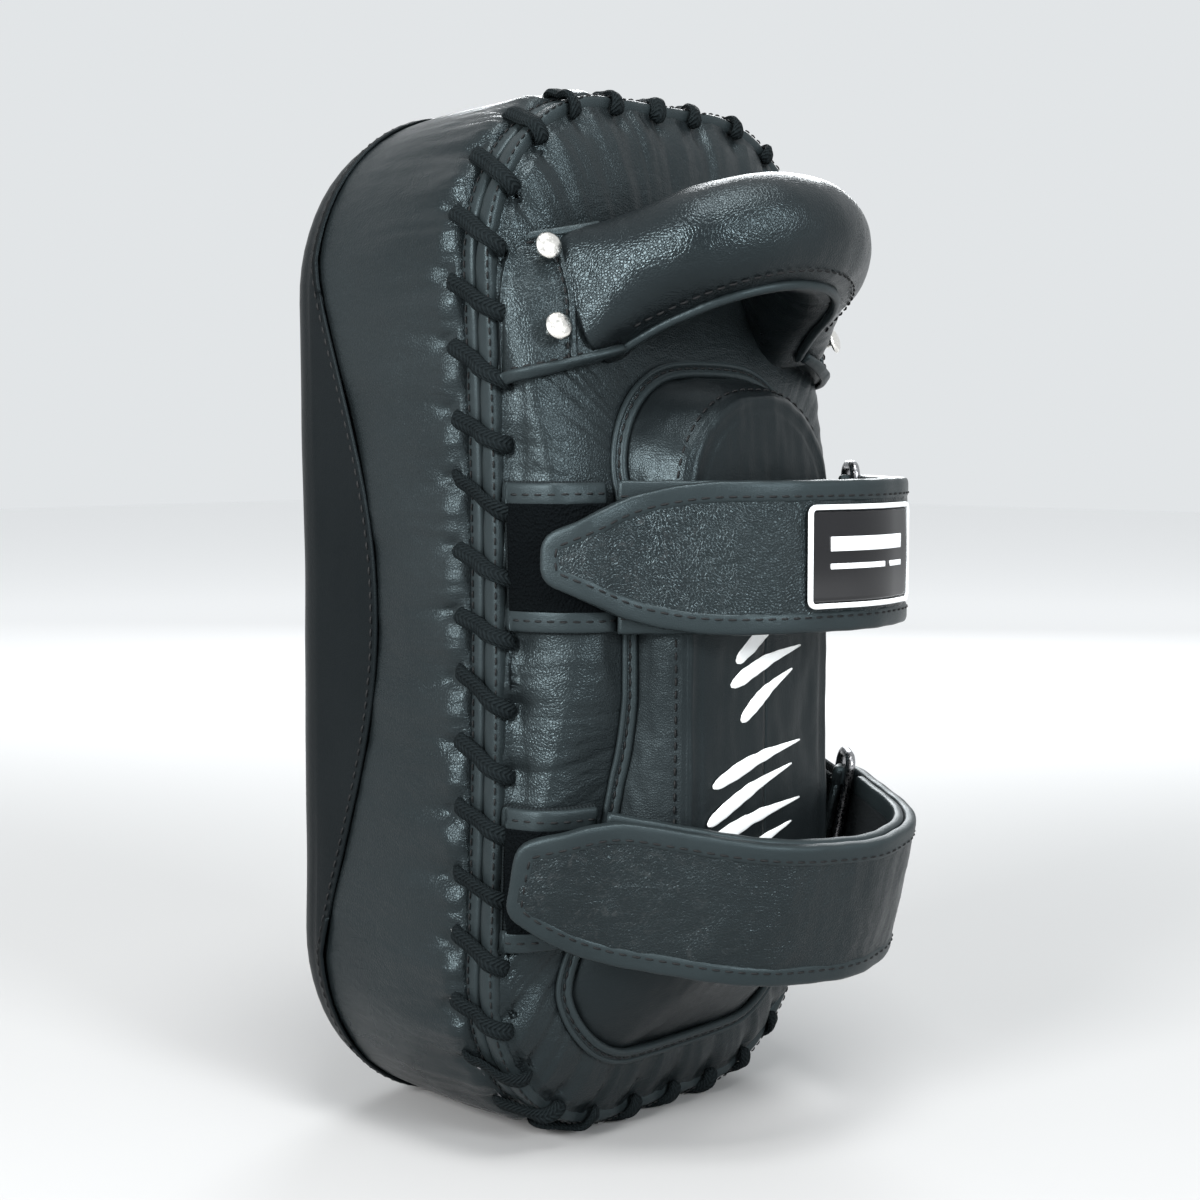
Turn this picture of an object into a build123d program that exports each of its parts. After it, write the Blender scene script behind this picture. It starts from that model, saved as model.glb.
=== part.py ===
from build123d import *

import os
from math import atan2, cos, degrees, radians, sin, sqrt, tan

# Thai pad: a thick forearm shield for kick training, sewn, laced and riveted from separate pieces.
# +Z runs up along the pad, X across it, the strike face looks to +Y and the arm side to -Y.
# The origin is the middle of the flat lower end that the pad stands on.  Units are millimetres.

# ---- driving dimensions: padded block ----
PAD_WIDTH = 200
PAD_HEIGHT = 395
STRIKE_HEIGHT = 390
BASE_TRIM = 0.4             # sliver cut off the lower end to make its flat resting face
RIM_Y = -49                 # plane of the laced joint between gusset and back panel
STRIKE_Y = 51
RIM_CORNER = 68
STRIKE_CORNER = 73
STRIKE_EDGE = 16
EDGE_STEPS = (0, 18, 36, 54, 72, 90)
RIM_WAIST = 9               # how far each long side pulls in at mid-height
STRIKE_WAIST = 3
STRIKE_MARGIN = 0.5
SKIN = 2.5                  # leather and lining together
GAP = 0.3                   # clearance between neighbouring pieces
SEAM_MIDDLE_Z = 199         # side seam between strike cover and gusset
SEAM_END_Y = 40
SEAM_DIP = 37
SEAM_WAVE = 365
FOAM_CUTS = (22, -8)         # where the block's foam is split into three sheets

# ---- driving dimensions: arm-side pillow ----
CROWN = 36                  # height of the pillow above the rim plane
CROWN_HALF_HEIGHT = 189
CROWN_HALF_TOP = 59
CROWN_SHOULDER = 30
CROWN_CORNER = 60
CROWN_STEPS = (15, 24, 36, 48, 60, 70, 78, 85)
FLANGE_SHARE = 0.2          # share of an added layer's thickness on the flat flange

# ---- driving dimensions: welts and lacing ----
WELT_OUTER = 4.6            # inset of the welts from the pad's outline
WELT_INNER = 10.0
WELT_FRONT_Y = -42
WELT_BACK_Y = -56
WELT_ROUND = 2.4
STITCH_PITCH = 23.5
STITCH_LENGTH = 13
STITCH_WIDTH = 5.5
STITCH_HEIGHT = 3.6
STITCH_SLANT = 38

# ---- driving dimensions: grip handle ----
GRIP_DIAMETER = 42
GRIP_SPAN = 55              # half the distance between the grip's feet
GRIP_CORNER = 27
GRIP_RISE = 56.3
GRIP_BEND = 42
GRIP_TILT = 25
GRIP_FOOT_Y = -66
GRIP_FOOT_Z = 315.5
GRIP_PIPING = 3.4
TAB_THICKNESS = 12
TAB_CORNERS = ((93, 284), (93, 334), (72, 343), (56, 336), (56, 297))
RIVET_CAP = 10
RIVET_POST = 3.6
RIVET_CAP_THICKNESS = 2
RIVET_BURR_THICKNESS = 1.5
RIVET_SPOTS = ((76.3, -68.8, 331.8), (79.7, -76.9, 303.5))
RIVET_SEAT = 1.2
POST_GAP = 0.1
RIVET_DEPTH = 16            # length of post through tab and panel
RIVET_LEAN = 20             # turn of the rivet axis from the arm-side direction towards the rim
RIVET_RISE = 16             # and upwards

# ---- driving dimensions: forearm cushion ----
CUSHION_TOP_Y = -105.5
CUSHION_HALF_TOP = 41.5
CUSHION_TOP_Z = (75, 281)
CUSHION_SKIN = 2.0
CUSHION_ROOT_Y = -59
CUSHION_HALF_ROOT = 59
CUSHION_HALF_FOOT = 68
CUSHION_ROOT_Z = (27, 292)
CUSHION_KNEE = 110          # height above the foot where the sides start to flare
CUSHION_TOP_CORNER = 38
CUSHION_FOOT_CORNER = 34
CUSHION_FLANGE = 3
CUSHION_KNEE_BEND = 100
APRON_THICKNESS = 1.8

# ---- driving dimensions: arm straps ----
STRAP_WIDTH = 54
STRAP_THICKNESS = 4
STRAP_OFFSET = 4.6          # tongue centre line outside the arm strap's
STRAP_BENDS = (60, 46, 38)
TIP_BENDS = (22, 34)
TAB_END_X = 61
ARM_LEATHER = 2.4
ARM_STOP = 9.5              # the arm strap ends this far from the ring's outer bar
LINING_GAP = 0.1
HOOK = 1.3                  # thickness of the hook patch
HOOK_MARGIN = 8
UPPER_HEIGHT = 223
UPPER_TILT = 0
LOWER_HEIGHT = 107
LOWER_TILT = 13
UPPER_ARM = ((-62, -5), (-24, -44), (16, -54), (50, -46))
LOWER_ARM = ((-66, -5), (-27, -51), (16, -62), (54, -53))
UPPER_TIP = ((-86.2, 4.2), (-78.3, -6.6), (-64.5, -11.5))
LOWER_TIP = ((-91, 8), (-82.5, -2.5), (-68, -12))
UPPER_TAPER = (52, 13)      # length of the tongue's taper and width at its free end
LOWER_TAPER = (34, 12)
TAB_SHEET = 2.4
PILE = 1.8
WIRE = 4
RING_HEIGHT = 62
RING_CORNER = 4.5
KEEPER_BAR = (85, 3)
STRAP_BAR = (76, -8)
KEEPER_WIDTH = 40
KEEPER_THICKNESS = 2.4
KEEPER_ROOT = 8
KEEPER_RETURN = 0.6
BADGE_X = (-15, 42)
BADGE_WIDTH = 37
BADGE_BORDER = 2.2
FRAME_THICKNESS = 1.4
PLATE_THICKNESS = 1.0
PLATE_TRIM = 2.5
BAR_CLEARANCE = 0.6

MIDDLE = PAD_HEIGHT / 2
os.makedirs("parts", exist_ok=True)


def write(piece, name):
    """Label a finished piece and write its STEP file."""
    piece.part.label = name
    export_step(piece.part, f"parts/{name}.step")


def across(y):
    """Sketch plane parallel to the strike face at a given Y: local x is X, local y is Z."""
    return Plane.XZ.offset(-y)


def outline(half_width, middle, half_height, corner, waist):
    """Closed rounded outline whose long sides pull in smoothly at mid-height."""
    turn = 2 * atan2(waist, half_height)
    ease = 0.8 * (half_height - corner) / tan(turn / 2)
    FilletPolyline(
        (half_width, middle - half_height),
        (half_width - waist, middle),
        (half_width, middle + half_height),
        (-half_width, middle + half_height),
        (-half_width + waist, middle),
        (-half_width, middle - half_height),
        radius=[corner, ease, corner, corner, ease, corner],
        close=True,
    )


def rim_outline(inset, drop=0):
    """Outline of the laced rim, moved inwards, with its lower end dropped a little."""
    half_height = MIDDLE - inset + drop / 2
    outline(PAD_WIDTH / 2 - inset, MIDDLE - drop / 2, half_height, RIM_CORNER - inset, RIM_WAIST)


def block(inset):
    """Padded block from the rim plane to the strike face, with rounded strike edges."""
    rounding = STRIKE_EDGE - inset
    with BuildPart() as body:
        with BuildSketch(across(RIM_Y)):
            with BuildLine():
                rim_outline(inset, BASE_TRIM)
            make_face()
        for angle in EDGE_STEPS:
            margin = inset + rounding * (1 - cos(radians(angle)))
            with BuildSketch(across(STRIKE_Y - STRIKE_EDGE + rounding * sin(radians(angle)))):
                with BuildLine():
                    half_height = (STRIKE_HEIGHT + BASE_TRIM) / 2 - margin
                    half_width = PAD_WIDTH / 2 - STRIKE_MARGIN - margin
                    middle = (STRIKE_HEIGHT - BASE_TRIM) / 2
                    outline(half_width, middle, half_height, STRIKE_CORNER - margin, STRIKE_WAIST)
                make_face()
        loft(ruled=True)
        split(bisect_by=Plane.XY, keep=Keep.TOP)
    return body.part


def crown(grow, base_y=RIM_Y):
    """Arm-side pillow with its flat flange, grown outwards by a skin thickness, through its level lines."""
    flange_inset = WELT_INNER + GAP - grow
    flange_y = WELT_BACK_Y - GAP - (grow if grow < 0 else grow * FLANGE_SHARE)
    with BuildPart() as pillow:
        for y in (base_y, flange_y):
            with BuildSketch(across(y)):
                with BuildLine():
                    rim_outline(flange_inset)
                make_face()
        for step in CROWN_STEPS:
            height = CROWN * sin(radians(step))
            half_height = CROWN_HALF_HEIGHT * sqrt(1 - height / (CROWN + 0.8))
            half_width = CROWN_HALF_TOP + CROWN_SHOULDER * sqrt(1 - (height / (CROWN + 1)) ** 2)
            corner = min(CROWN_CORNER, 0.85 * half_height)
            waist = RIM_WAIST * (1 - height / (CROWN + 4))
            with BuildSketch(across(RIM_Y - height * (CROWN + grow) / CROWN)):
                with BuildLine():
                    outline(half_width + grow, MIDDLE, half_height + grow, corner + grow, waist)
                make_face()
        loft(ruled=True)
    return pillow.part


def seam_region(shift):
    """Everything on the strike side of the wavy side seam, moved by a small shift in Y."""
    seam_points = []
    for step in range(-3, 4):
        z = MIDDLE + step * (MIDDLE + 10) / 3
        wave = 0.5 * (1 + cos(radians(360 * (z - SEAM_MIDDLE_Z) / SEAM_WAVE)))
        seam_points.append((SEAM_END_Y - SEAM_DIP * wave + shift, z))
    with BuildPart() as region:
        with BuildSketch(Plane.YZ):
            with BuildLine():
                Spline(*seam_points)
                Polyline(seam_points[-1], (STRIKE_Y + 20, seam_points[-1][1]),
                         (STRIKE_Y + 20, seam_points[0][1]), seam_points[0])
            make_face()
        extrude(amount=PAD_WIDTH, both=True)
    return region.part


def layer(low, high):
    """Sheet of leather on the pillow between two heights above its surface."""
    with BuildPart() as sheet:
        add(crown(high))
        add(crown(low), mode=Mode.SUBTRACT)
        with BuildSketch(across(WELT_BACK_Y - GAP)):
            Rectangle(2 * PAD_WIDTH, 4 * PAD_HEIGHT)
        extrude(amount=PAD_WIDTH, mode=Mode.INTERSECT)
    return sheet.part


# ---- padded block ----
outer_block = block(0)
inner_block = block(SKIN)
core_block = block(SKIN + GAP)

with BuildPart() as strike_cover:
    add(outer_block)
    add(inner_block, mode=Mode.SUBTRACT)
    add(seam_region(GAP / 2), mode=Mode.INTERSECT)
write(strike_cover, "strike_cover")

with BuildPart() as side_gusset:
    add(outer_block)
    add(inner_block, mode=Mode.SUBTRACT)
    add(seam_region(-GAP / 2), mode=Mode.SUBTRACT)
    with BuildSketch(across(WELT_FRONT_Y)):
        Rectangle(2 * PAD_WIDTH, 3 * PAD_HEIGHT)
    extrude(amount=PAD_WIDTH, mode=Mode.SUBTRACT)
write(side_gusset, "side_gusset")

FOAM_LAYERS = (
    ("foam_front", STRIKE_Y, FOAM_CUTS[0]),
    ("foam_middle", FOAM_CUTS[0] - GAP, FOAM_CUTS[1]),
    ("foam_rear", FOAM_CUTS[1] - GAP, WELT_FRONT_Y),
)
for foam_name, front_y, back_y in FOAM_LAYERS:
    with BuildPart() as foam:
        add(core_block)
        with BuildSketch(across(front_y)):
            Rectangle(2 * PAD_WIDTH, 3 * PAD_HEIGHT)
        extrude(amount=front_y - back_y, mode=Mode.INTERSECT)
    write(foam, foam_name)

rivets = []
for side in (-1, 1):
    for spot_x, spot_y, spot_z in RIVET_SPOTS:
        flat = cos(radians(RIVET_RISE))
        outwards = (
            side * sin(radians(RIVET_LEAN)) * flat,
            -cos(radians(RIVET_LEAN)) * flat,
            sin(radians(RIVET_RISE)),
        )
        rivets.append(Plane(origin=(side * spot_x, spot_y, spot_z), x_dir=(1, 0, 0), z_dir=outwards))

with BuildPart() as rivet_room:
    with BuildSketch(*[spot.offset(-RIVET_DEPTH - RIVET_CAP_THICKNESS) for spot in rivets]):
        Circle(RIVET_POST / 2 + GAP)
    extrude(amount=RIVET_DEPTH + 2 * RIVET_CAP)
    with BuildSketch(*[spot.offset(-RIVET_DEPTH - RIVET_CAP_THICKNESS) for spot in rivets]):
        Circle(RIVET_CAP / 2 + GAP)
    extrude(amount=2 * RIVET_BURR_THICKNESS)

with BuildPart() as foam_crown:
    add(crown(-SKIN - GAP, WELT_FRONT_Y - GAP))
    add(rivet_room.part, mode=Mode.SUBTRACT)
write(foam_crown, "foam_crown")

with BuildPart() as back_panel:
    add(crown(0))
    add(crown(-SKIN), mode=Mode.SUBTRACT)
    add(rivet_room.part, mode=Mode.SUBTRACT)
write(back_panel, "back_panel")

# ---- welts and lacing ----
WELTS = (
    ("gusset_welt", WELT_FRONT_Y - GAP, WELT_FRONT_Y - RIM_Y - 2 * GAP),
    ("back_welt", RIM_Y - GAP, RIM_Y - WELT_BACK_Y - GAP),
)
for welt_name, welt_y, welt_depth in WELTS:
    with BuildPart() as welt:
        with BuildSketch(across(welt_y)):
            with BuildLine():
                rim_outline(WELT_OUTER)
            make_face()
            with BuildLine():
                rim_outline(WELT_INNER)
            make_face(mode=Mode.SUBTRACT)
        extrude(amount=welt_depth)
        fillet(welt.faces().filter_by(Axis.Y).edges(), WELT_ROUND)
    write(welt, welt_name)

with BuildLine(across(RIM_Y)) as lacing_line:
    rim_outline(WELT_OUTER - GAP)
lacing_wire = lacing_line.wire()
stitch_count = round(lacing_wire.length / STITCH_PITCH)
stitch_places = []
for turn in range(stitch_count):
    place = lacing_wire.position_at(turn / stitch_count)
    along = lacing_wire.tangent_at(turn / stitch_count)
    away = along.cross(Vector(0, 1, 0))
    if away.dot(place - Vector(0, RIM_Y, MIDDLE)) < 0:
        away = -away
    stitch_places.append(Plane(origin=place, x_dir=along, z_dir=away))

with BuildPart() as edge_lacing:
    with BuildSketch(*stitch_places):
        SlotOverall(STITCH_LENGTH, STITCH_WIDTH, rotation=STITCH_SLANT)
    extrude(amount=STITCH_HEIGHT)
write(edge_lacing, "edge_lacing")

# ---- grip handle ----
grip_plane = Plane(
    origin=(0, GRIP_FOOT_Y, GRIP_FOOT_Z),
    x_dir=(1, 0, 0),
    z_dir=(0, -sin(radians(GRIP_TILT)), -cos(radians(GRIP_TILT))),
)


def grip_rod(radius, lift):
    """Round rod along the grip's arch, moved towards the pad's lower end by a lift."""
    with BuildPart() as rod:
        with BuildLine(grip_plane.offset(lift)) as arch:
            FilletPolyline(
                (-GRIP_SPAN, 0),
                (-GRIP_CORNER, GRIP_RISE),
                (GRIP_CORNER, GRIP_RISE),
                (GRIP_SPAN, 0),
                radius=GRIP_BEND,
            )
        with BuildSketch(Plane(origin=arch.line @ 0, z_dir=arch.line % 0)):
            Circle(radius)
        sweep()
        add(crown(TAB_THICKNESS + GAP), mode=Mode.SUBTRACT)
    return rod.part.solids().sort_by(SortBy.VOLUME)[-1]


with BuildPart() as handle_cover:
    add(grip_rod(GRIP_DIAMETER / 2, 0))
    add(grip_rod(GRIP_DIAMETER / 2 - SKIN, 0), mode=Mode.SUBTRACT)
write(handle_cover, "handle_cover")

with BuildPart() as handle_core:
    add(grip_rod(GRIP_DIAMETER / 2 - SKIN - GAP, 0))
write(handle_core, "handle_core")

with BuildPart() as handle_piping:
    add(grip_rod(GRIP_PIPING / 2, GRIP_DIAMETER / 2 + GRIP_PIPING / 2 + GAP))
write(handle_piping, "handle_piping")

for side, tab_name in ((-1, "left_handle_tab"), (1, "right_handle_tab")):
    with BuildPart() as handle_tab:
        add(layer(GAP, TAB_THICKNESS))
        with BuildSketch(across(0)):
            Polygon(*[(side * x, z) for x, z in TAB_CORNERS], align=None)
        extrude(amount=PAD_WIDTH, mode=Mode.INTERSECT)
        add(rivet_room.part, mode=Mode.SUBTRACT)
    write(handle_tab, tab_name)

with BuildPart() as rivet_caps:
    with BuildSketch(*[spot.offset(RIVET_SEAT) for spot in rivets]):
        Circle(RIVET_CAP / 2)
    extrude(amount=RIVET_CAP_THICKNESS)
write(rivet_caps, "rivet_caps")

with BuildPart() as rivet_posts:
    with BuildSketch(*[spot.offset(-RIVET_DEPTH) for spot in rivets]):
        Circle(RIVET_POST / 2)
    extrude(amount=RIVET_DEPTH + RIVET_SEAT - POST_GAP / 2)
write(rivet_posts, "rivet_posts")

with BuildPart() as rivet_burrs:
    with BuildSketch(*[spot.offset(-RIVET_DEPTH - RIVET_BURR_THICKNESS - POST_GAP) for spot in rivets]):
        Circle(RIVET_CAP / 2)
    extrude(amount=RIVET_BURR_THICKNESS)
write(rivet_burrs, "rivet_burrs")

# ---- forearm cushion ----


def cushion_outline(half_width, half_foot, low_z, high_z, inset):
    """Outline of the cushion: rounded top, wider rounded foot, moved inwards by an inset."""
    knee_z = low_z + CUSHION_KNEE
    FilletPolyline(
        (half_foot - inset, low_z + inset),
        (half_width - inset, knee_z),
        (half_width - inset, high_z - inset),
        (-half_width + inset, high_z - inset),
        (-half_width + inset, knee_z),
        (-half_foot + inset, low_z + inset),
        radius=[
            CUSHION_FOOT_CORNER, CUSHION_KNEE_BEND, CUSHION_TOP_CORNER,
            CUSHION_TOP_CORNER, CUSHION_KNEE_BEND, CUSHION_FOOT_CORNER,
        ],
        close=True,
    )


def cushion_block(inset):
    """Wedge-ended cushion from inside the pillow to its flat top, moved inwards by an inset."""
    with BuildPart() as body:
        with BuildSketch(across(CUSHION_ROOT_Y)):
            with BuildLine():
                cushion_outline(CUSHION_HALF_ROOT, CUSHION_HALF_FOOT, *CUSHION_ROOT_Z, inset)
            make_face()
        with BuildSketch(across(CUSHION_TOP_Y + inset)):
            with BuildLine():
                cushion_outline(CUSHION_HALF_TOP, CUSHION_HALF_TOP + 1, *CUSHION_TOP_Z, inset)
            make_face()
        loft(ruled=True)
    return body.part


def beyond(y):
    """Half space on the arm side of a given Y."""
    with BuildPart() as space:
        with BuildSketch(across(y)):
            Rectangle(3 * PAD_WIDTH, 4 * PAD_HEIGHT)
        extrude(amount=PAD_WIDTH)
    return space.part


cushion_outer = cushion_block(0)
cushion_inner = cushion_block(CUSHION_SKIN)
lid_y = CUSHION_TOP_Y + CUSHION_SKIN

with BuildPart() as cushion_wall:
    add(cushion_outer)
    add(cushion_inner, mode=Mode.SUBTRACT)
    add(beyond(lid_y), mode=Mode.SUBTRACT)
    add(crown(APRON_THICKNESS + 2 * GAP), mode=Mode.SUBTRACT)
write(cushion_wall, "cushion_wall")

with BuildPart() as cushion_top:
    add(cushion_outer)
    add(beyond(lid_y - GAP), mode=Mode.INTERSECT)
write(cushion_top, "cushion_top")

with BuildPart() as cushion_foam:
    add(cushion_block(CUSHION_SKIN + GAP))
    add(crown(APRON_THICKNESS + 2 * GAP), mode=Mode.SUBTRACT)
write(cushion_foam, "cushion_foam")

with BuildPart() as cushion_apron:
    add(layer(GAP, APRON_THICKNESS))
    with BuildSketch(across(0)):
        with BuildLine():
            cushion_outline(CUSHION_HALF_ROOT, CUSHION_HALF_FOOT, *CUSHION_ROOT_Z, CUSHION_FLANGE)
        make_face()
    extrude(amount=PAD_WIDTH, mode=Mode.INTERSECT)
write(cushion_apron, "cushion_apron")

# ---- arm straps ----


def shift_route(points, distance):
    """Route moved sideways, away from the pad for a positive distance, with its corners kept parallel."""
    corners = [Vector(*point) for point in points]
    runs = [(after - before).normalized() for before, after in zip(corners, corners[1:])]
    normals = [Vector(run.Y, -run.X) for run in runs]
    moved = [corners[0] + normals[0] * distance]
    for corner, before, after in zip(corners[1:], normals, normals[1:]):
        bisector = (before + after).normalized()
        moved.append(corner + bisector * (distance / bisector.dot(before)))
    moved.append(corners[-1] + normals[-1] * distance)
    return moved


def band(plane, points, radii, thickness, width):
    """Strap standing on edge along a route in its own plane."""
    with BuildPart() as strap:
        with BuildSketch(plane.offset(-width / 2)):
            with BuildLine() as route:
                FilletPolyline(*points, radius=radii)
            trace(route.line, thickness)
        extrude(amount=width)
    return strap.part


def taper(plane, tip_x, tip_length, tip_width, width):
    """Region seen from the arm side that narrows a strap towards its free end."""
    facing = Plane(origin=plane.origin, x_dir=plane.x_dir, z_dir=-plane.y_dir)
    far = tip_x + 3 * PAD_WIDTH
    with BuildPart() as region:
        with BuildSketch(facing):
            Polygon(
                (tip_x, -tip_width / 2), (tip_x + tip_length, -width / 2), (far, -width / 2),
                (far, width / 2), (tip_x + tip_length, width / 2), (tip_x, tip_width / 2),
                align=None,
            )
        extrude(amount=2 * PAD_WIDTH, both=True)
    return region.part


def make_strap(name, height, tilt, arm_corners, tongue_start, tip_length, tip_width):
    """All the pieces of one arm strap; returns its plane and the tongue's corners."""
    pillow_y = RIM_Y - CROWN * (1 - ((height - MIDDLE) / MIDDLE) ** 2)
    lean = radians(tilt)
    plane = Plane(origin=(0, pillow_y, height), x_dir=(1, 0, 0), z_dir=(0, -sin(lean), cos(lean)))
    keeper_bar = Vector(*KEEPER_BAR)
    strap_bar = Vector(*STRAP_BAR)

    # loop tab laced under the left rim, with its field of loop pile
    for piece_name, low, high, end_x, width in (
        ("loop_tab", GAP, TAB_SHEET, TAB_END_X, STRAP_WIDTH),
        ("loop_pile", TAB_SHEET + GAP, TAB_SHEET + PILE, TAB_END_X + 2, STRAP_WIDTH - 14),
    ):
        with BuildPart() as tab:
            add(layer(low, high))
            with BuildSketch(across(0)):
                with Locations((-end_x - PAD_WIDTH / 2, height)):
                    Rectangle(PAD_WIDTH, width)
            extrude(amount=PAD_WIDTH, mode=Mode.INTERSECT)
        write(tab, f"{name}_{piece_name}")

    # arm strap over the cushion, leather outside and lining inside, stopping short of the ring
    last_run = (strap_bar - Vector(*arm_corners[-1])).normalized()
    arm_route = [*arm_corners, strap_bar - last_run * ARM_STOP]
    lining = STRAP_THICKNESS - ARM_LEATHER - LINING_GAP
    for piece_name, thickness, shift in (
        ("arm_strap", ARM_LEATHER, (STRAP_THICKNESS - ARM_LEATHER) / 2),
        ("arm_lining", lining, (lining - STRAP_THICKNESS) / 2),
    ):
        with BuildPart() as strap:
            radii = [bend + shift for bend in STRAP_BENDS]
            add(band(plane, shift_route(arm_route, shift), radii, thickness, STRAP_WIDTH))
        write(strap, f"{name}_{piece_name}")

    # webbing keeper from the right rim round the ring's inner bar
    turn_radius = WIRE / 2 + BAR_CLEARANCE + KEEPER_THICKNESS / 2
    rim_point = Vector(PAD_WIDTH / 2 - KEEPER_ROOT, (WELT_BACK_Y - 2 - pillow_y) / cos(lean))
    reach = (keeper_bar - rim_point).normalized()
    outwards = Vector(-reach.Y, reach.X)
    run = (keeper_bar - rim_point).length
    with BuildPart() as keeper:
        with BuildSketch(plane.offset(-KEEPER_WIDTH / 2)):
            with BuildLine() as loop:
                outer_end = keeper_bar + outwards * turn_radius
                inner_end = keeper_bar - outwards * turn_radius
                Line(outer_end - reach * run, outer_end)
                CenterArc(KEEPER_BAR, turn_radius, degrees(atan2(outwards.Y, outwards.X)), -180)
                Line(inner_end, inner_end - reach * run * KEEPER_RETURN)
            trace(loop.line, KEEPER_THICKNESS)
        extrude(amount=KEEPER_WIDTH)
        add(crown(GAP), mode=Mode.SUBTRACT)
    write(keeper, f"{name}_keeper")

    # metal ring: a rounded rectangle of wire round both bars
    bar_gap = strap_bar - keeper_bar
    across_bars = plane.x_dir * bar_gap.X + plane.y_dir * bar_gap.Y
    ring_plane = Plane(
        origin=plane.from_local_coords(keeper_bar), x_dir=plane.z_dir, z_dir=plane.z_dir.cross(across_bars)
    )
    half_ring = RING_HEIGHT / 2
    with BuildPart() as ring:
        with BuildLine(ring_plane) as wire_line:
            FilletPolyline(
                (-half_ring, 0), (half_ring, 0), (half_ring, bar_gap.length), (-half_ring, bar_gap.length),
                radius=RING_CORNER,
                close=True,
            )
        with BuildSketch(Plane(origin=wire_line.wire() @ 0, z_dir=wire_line.wire() % 0)):
            Circle(WIRE / 2)
        sweep(path=wire_line.wire())
    write(ring, f"{name}_ring")

    # tongue: lies on the arm strap, folds round the ring's outer bar, tapers to its free end
    outer_route = shift_route([*arm_corners, strap_bar], STRAP_OFFSET)
    tongue_route = [*tongue_start, *outer_route[1:]]
    tongue_radii = [*TIP_BENDS, *[bend + STRAP_OFFSET for bend in STRAP_BENDS]]
    away = (outer_route[-1] - strap_bar).normalized()
    with BuildPart() as tongue:
        with BuildSketch(plane.offset(-STRAP_WIDTH / 2)):
            with BuildLine() as path:
                FilletPolyline(*tongue_route, radius=tongue_radii)
                CenterArc(STRAP_BAR, STRAP_OFFSET, degrees(atan2(away.Y, away.X)), 180)
            trace(path.line, STRAP_THICKNESS)
        extrude(amount=STRAP_WIDTH)
        add(taper(plane, tongue_start[0][0] - 3, tip_length, tip_width, STRAP_WIDTH), mode=Mode.INTERSECT)
    write(tongue, f"{name}_tongue")

    # hook patch under the tongue's free end
    hook_shift = -(STRAP_THICKNESS + HOOK) / 2 - LINING_GAP
    with BuildPart() as hook_patch:
        hook_route = shift_route(tongue_start, hook_shift)
        add(band(plane, hook_route, [TIP_BENDS[0] + hook_shift], HOOK, STRAP_WIDTH - 2 * HOOK_MARGIN))
        add(taper(plane, tongue_start[0][0], tip_length, tip_width - 4, STRAP_WIDTH - 8), mode=Mode.INTERSECT)
    write(hook_patch, f"{name}_hook_patch")
    return plane, tongue_route


upper_plane, upper_route = make_strap("upper", UPPER_HEIGHT, UPPER_TILT, UPPER_ARM, UPPER_TIP, *UPPER_TAPER)
make_strap("lower", LOWER_HEIGHT, LOWER_TILT, LOWER_ARM, LOWER_TIP, *LOWER_TAPER)

# ---- badge on the upper tongue ----
for badge_name, thickness, trim in (
    ("badge_frame", FRAME_THICKNESS, 0),
    ("badge_plate", PLATE_THICKNESS, PLATE_TRIM),
):
    width = BADGE_WIDTH - 2 * trim
    badge_shift = (STRAP_THICKNESS + thickness) / 2 + LINING_GAP
    with BuildPart() as badge:
        radii = [bend + STRAP_OFFSET + badge_shift for bend in STRAP_BENDS]
        add(band(upper_plane, shift_route(upper_route, badge_shift)[2:], radii, thickness, width))
        with BuildSketch(across(0)):
            with Locations(((BADGE_X[0] + BADGE_X[1]) / 2, UPPER_HEIGHT)):
                Rectangle(BADGE_X[1] - BADGE_X[0] - 2 * trim, PAD_WIDTH)
                if trim == 0:
                    window = BADGE_X[1] - BADGE_X[0] - 2 * BADGE_BORDER
                    Rectangle(window, BADGE_WIDTH - 2 * BADGE_BORDER, mode=Mode.SUBTRACT)
        extrude(amount=PAD_WIDTH, mode=Mode.INTERSECT)
    write(badge, badge_name)
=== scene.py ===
import math

import bpy
import numpy as np
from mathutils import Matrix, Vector, noise


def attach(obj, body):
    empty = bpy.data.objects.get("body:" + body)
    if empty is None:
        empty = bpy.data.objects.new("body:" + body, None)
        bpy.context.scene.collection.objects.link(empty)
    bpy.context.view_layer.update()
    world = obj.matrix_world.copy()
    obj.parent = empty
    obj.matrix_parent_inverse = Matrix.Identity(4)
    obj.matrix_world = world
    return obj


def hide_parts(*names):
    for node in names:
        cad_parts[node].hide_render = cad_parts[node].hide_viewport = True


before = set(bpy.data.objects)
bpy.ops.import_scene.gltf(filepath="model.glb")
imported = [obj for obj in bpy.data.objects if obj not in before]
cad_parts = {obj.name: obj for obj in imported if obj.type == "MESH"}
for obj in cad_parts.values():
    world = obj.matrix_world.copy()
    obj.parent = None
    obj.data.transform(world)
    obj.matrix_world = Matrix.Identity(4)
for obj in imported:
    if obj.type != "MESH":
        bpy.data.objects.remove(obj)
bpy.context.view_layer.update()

# The model is worked out in millimetres and turned into metres when a mesh is made.
MM = 0.001
SEED = Vector((3.1, 7.7, 1.3))

# ---- sizes that repeat the CAD model's driving dimensions ----
RIM_Y, STRIKE_Y, STRIKE_EDGE = -49.0, 51.0, 16.0
MIDDLE = 197.5
RIM = dict(half_width=100.0, middle=197.5, half_height=197.5, corner=68.0, waist=9.0)
STRIKE = dict(half_width=99.5, middle=195.0, half_height=195.0, corner=73.0, waist=3.0)
WELT_FRONT_Y, WELT_BACK_Y = -42.0, -56.0
CROWN = 36.0
AROUND = 900
STITCHES = 44
STITCH_SIDES = 6
STITCH_SINK = 0.1
SKIN = 1.2
LACE_HALF_WIDTH, LACE_HALF_THICKNESS = 3.15, 1.5


# ---------------------------------------------------------------- path and mesh helpers

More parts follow.
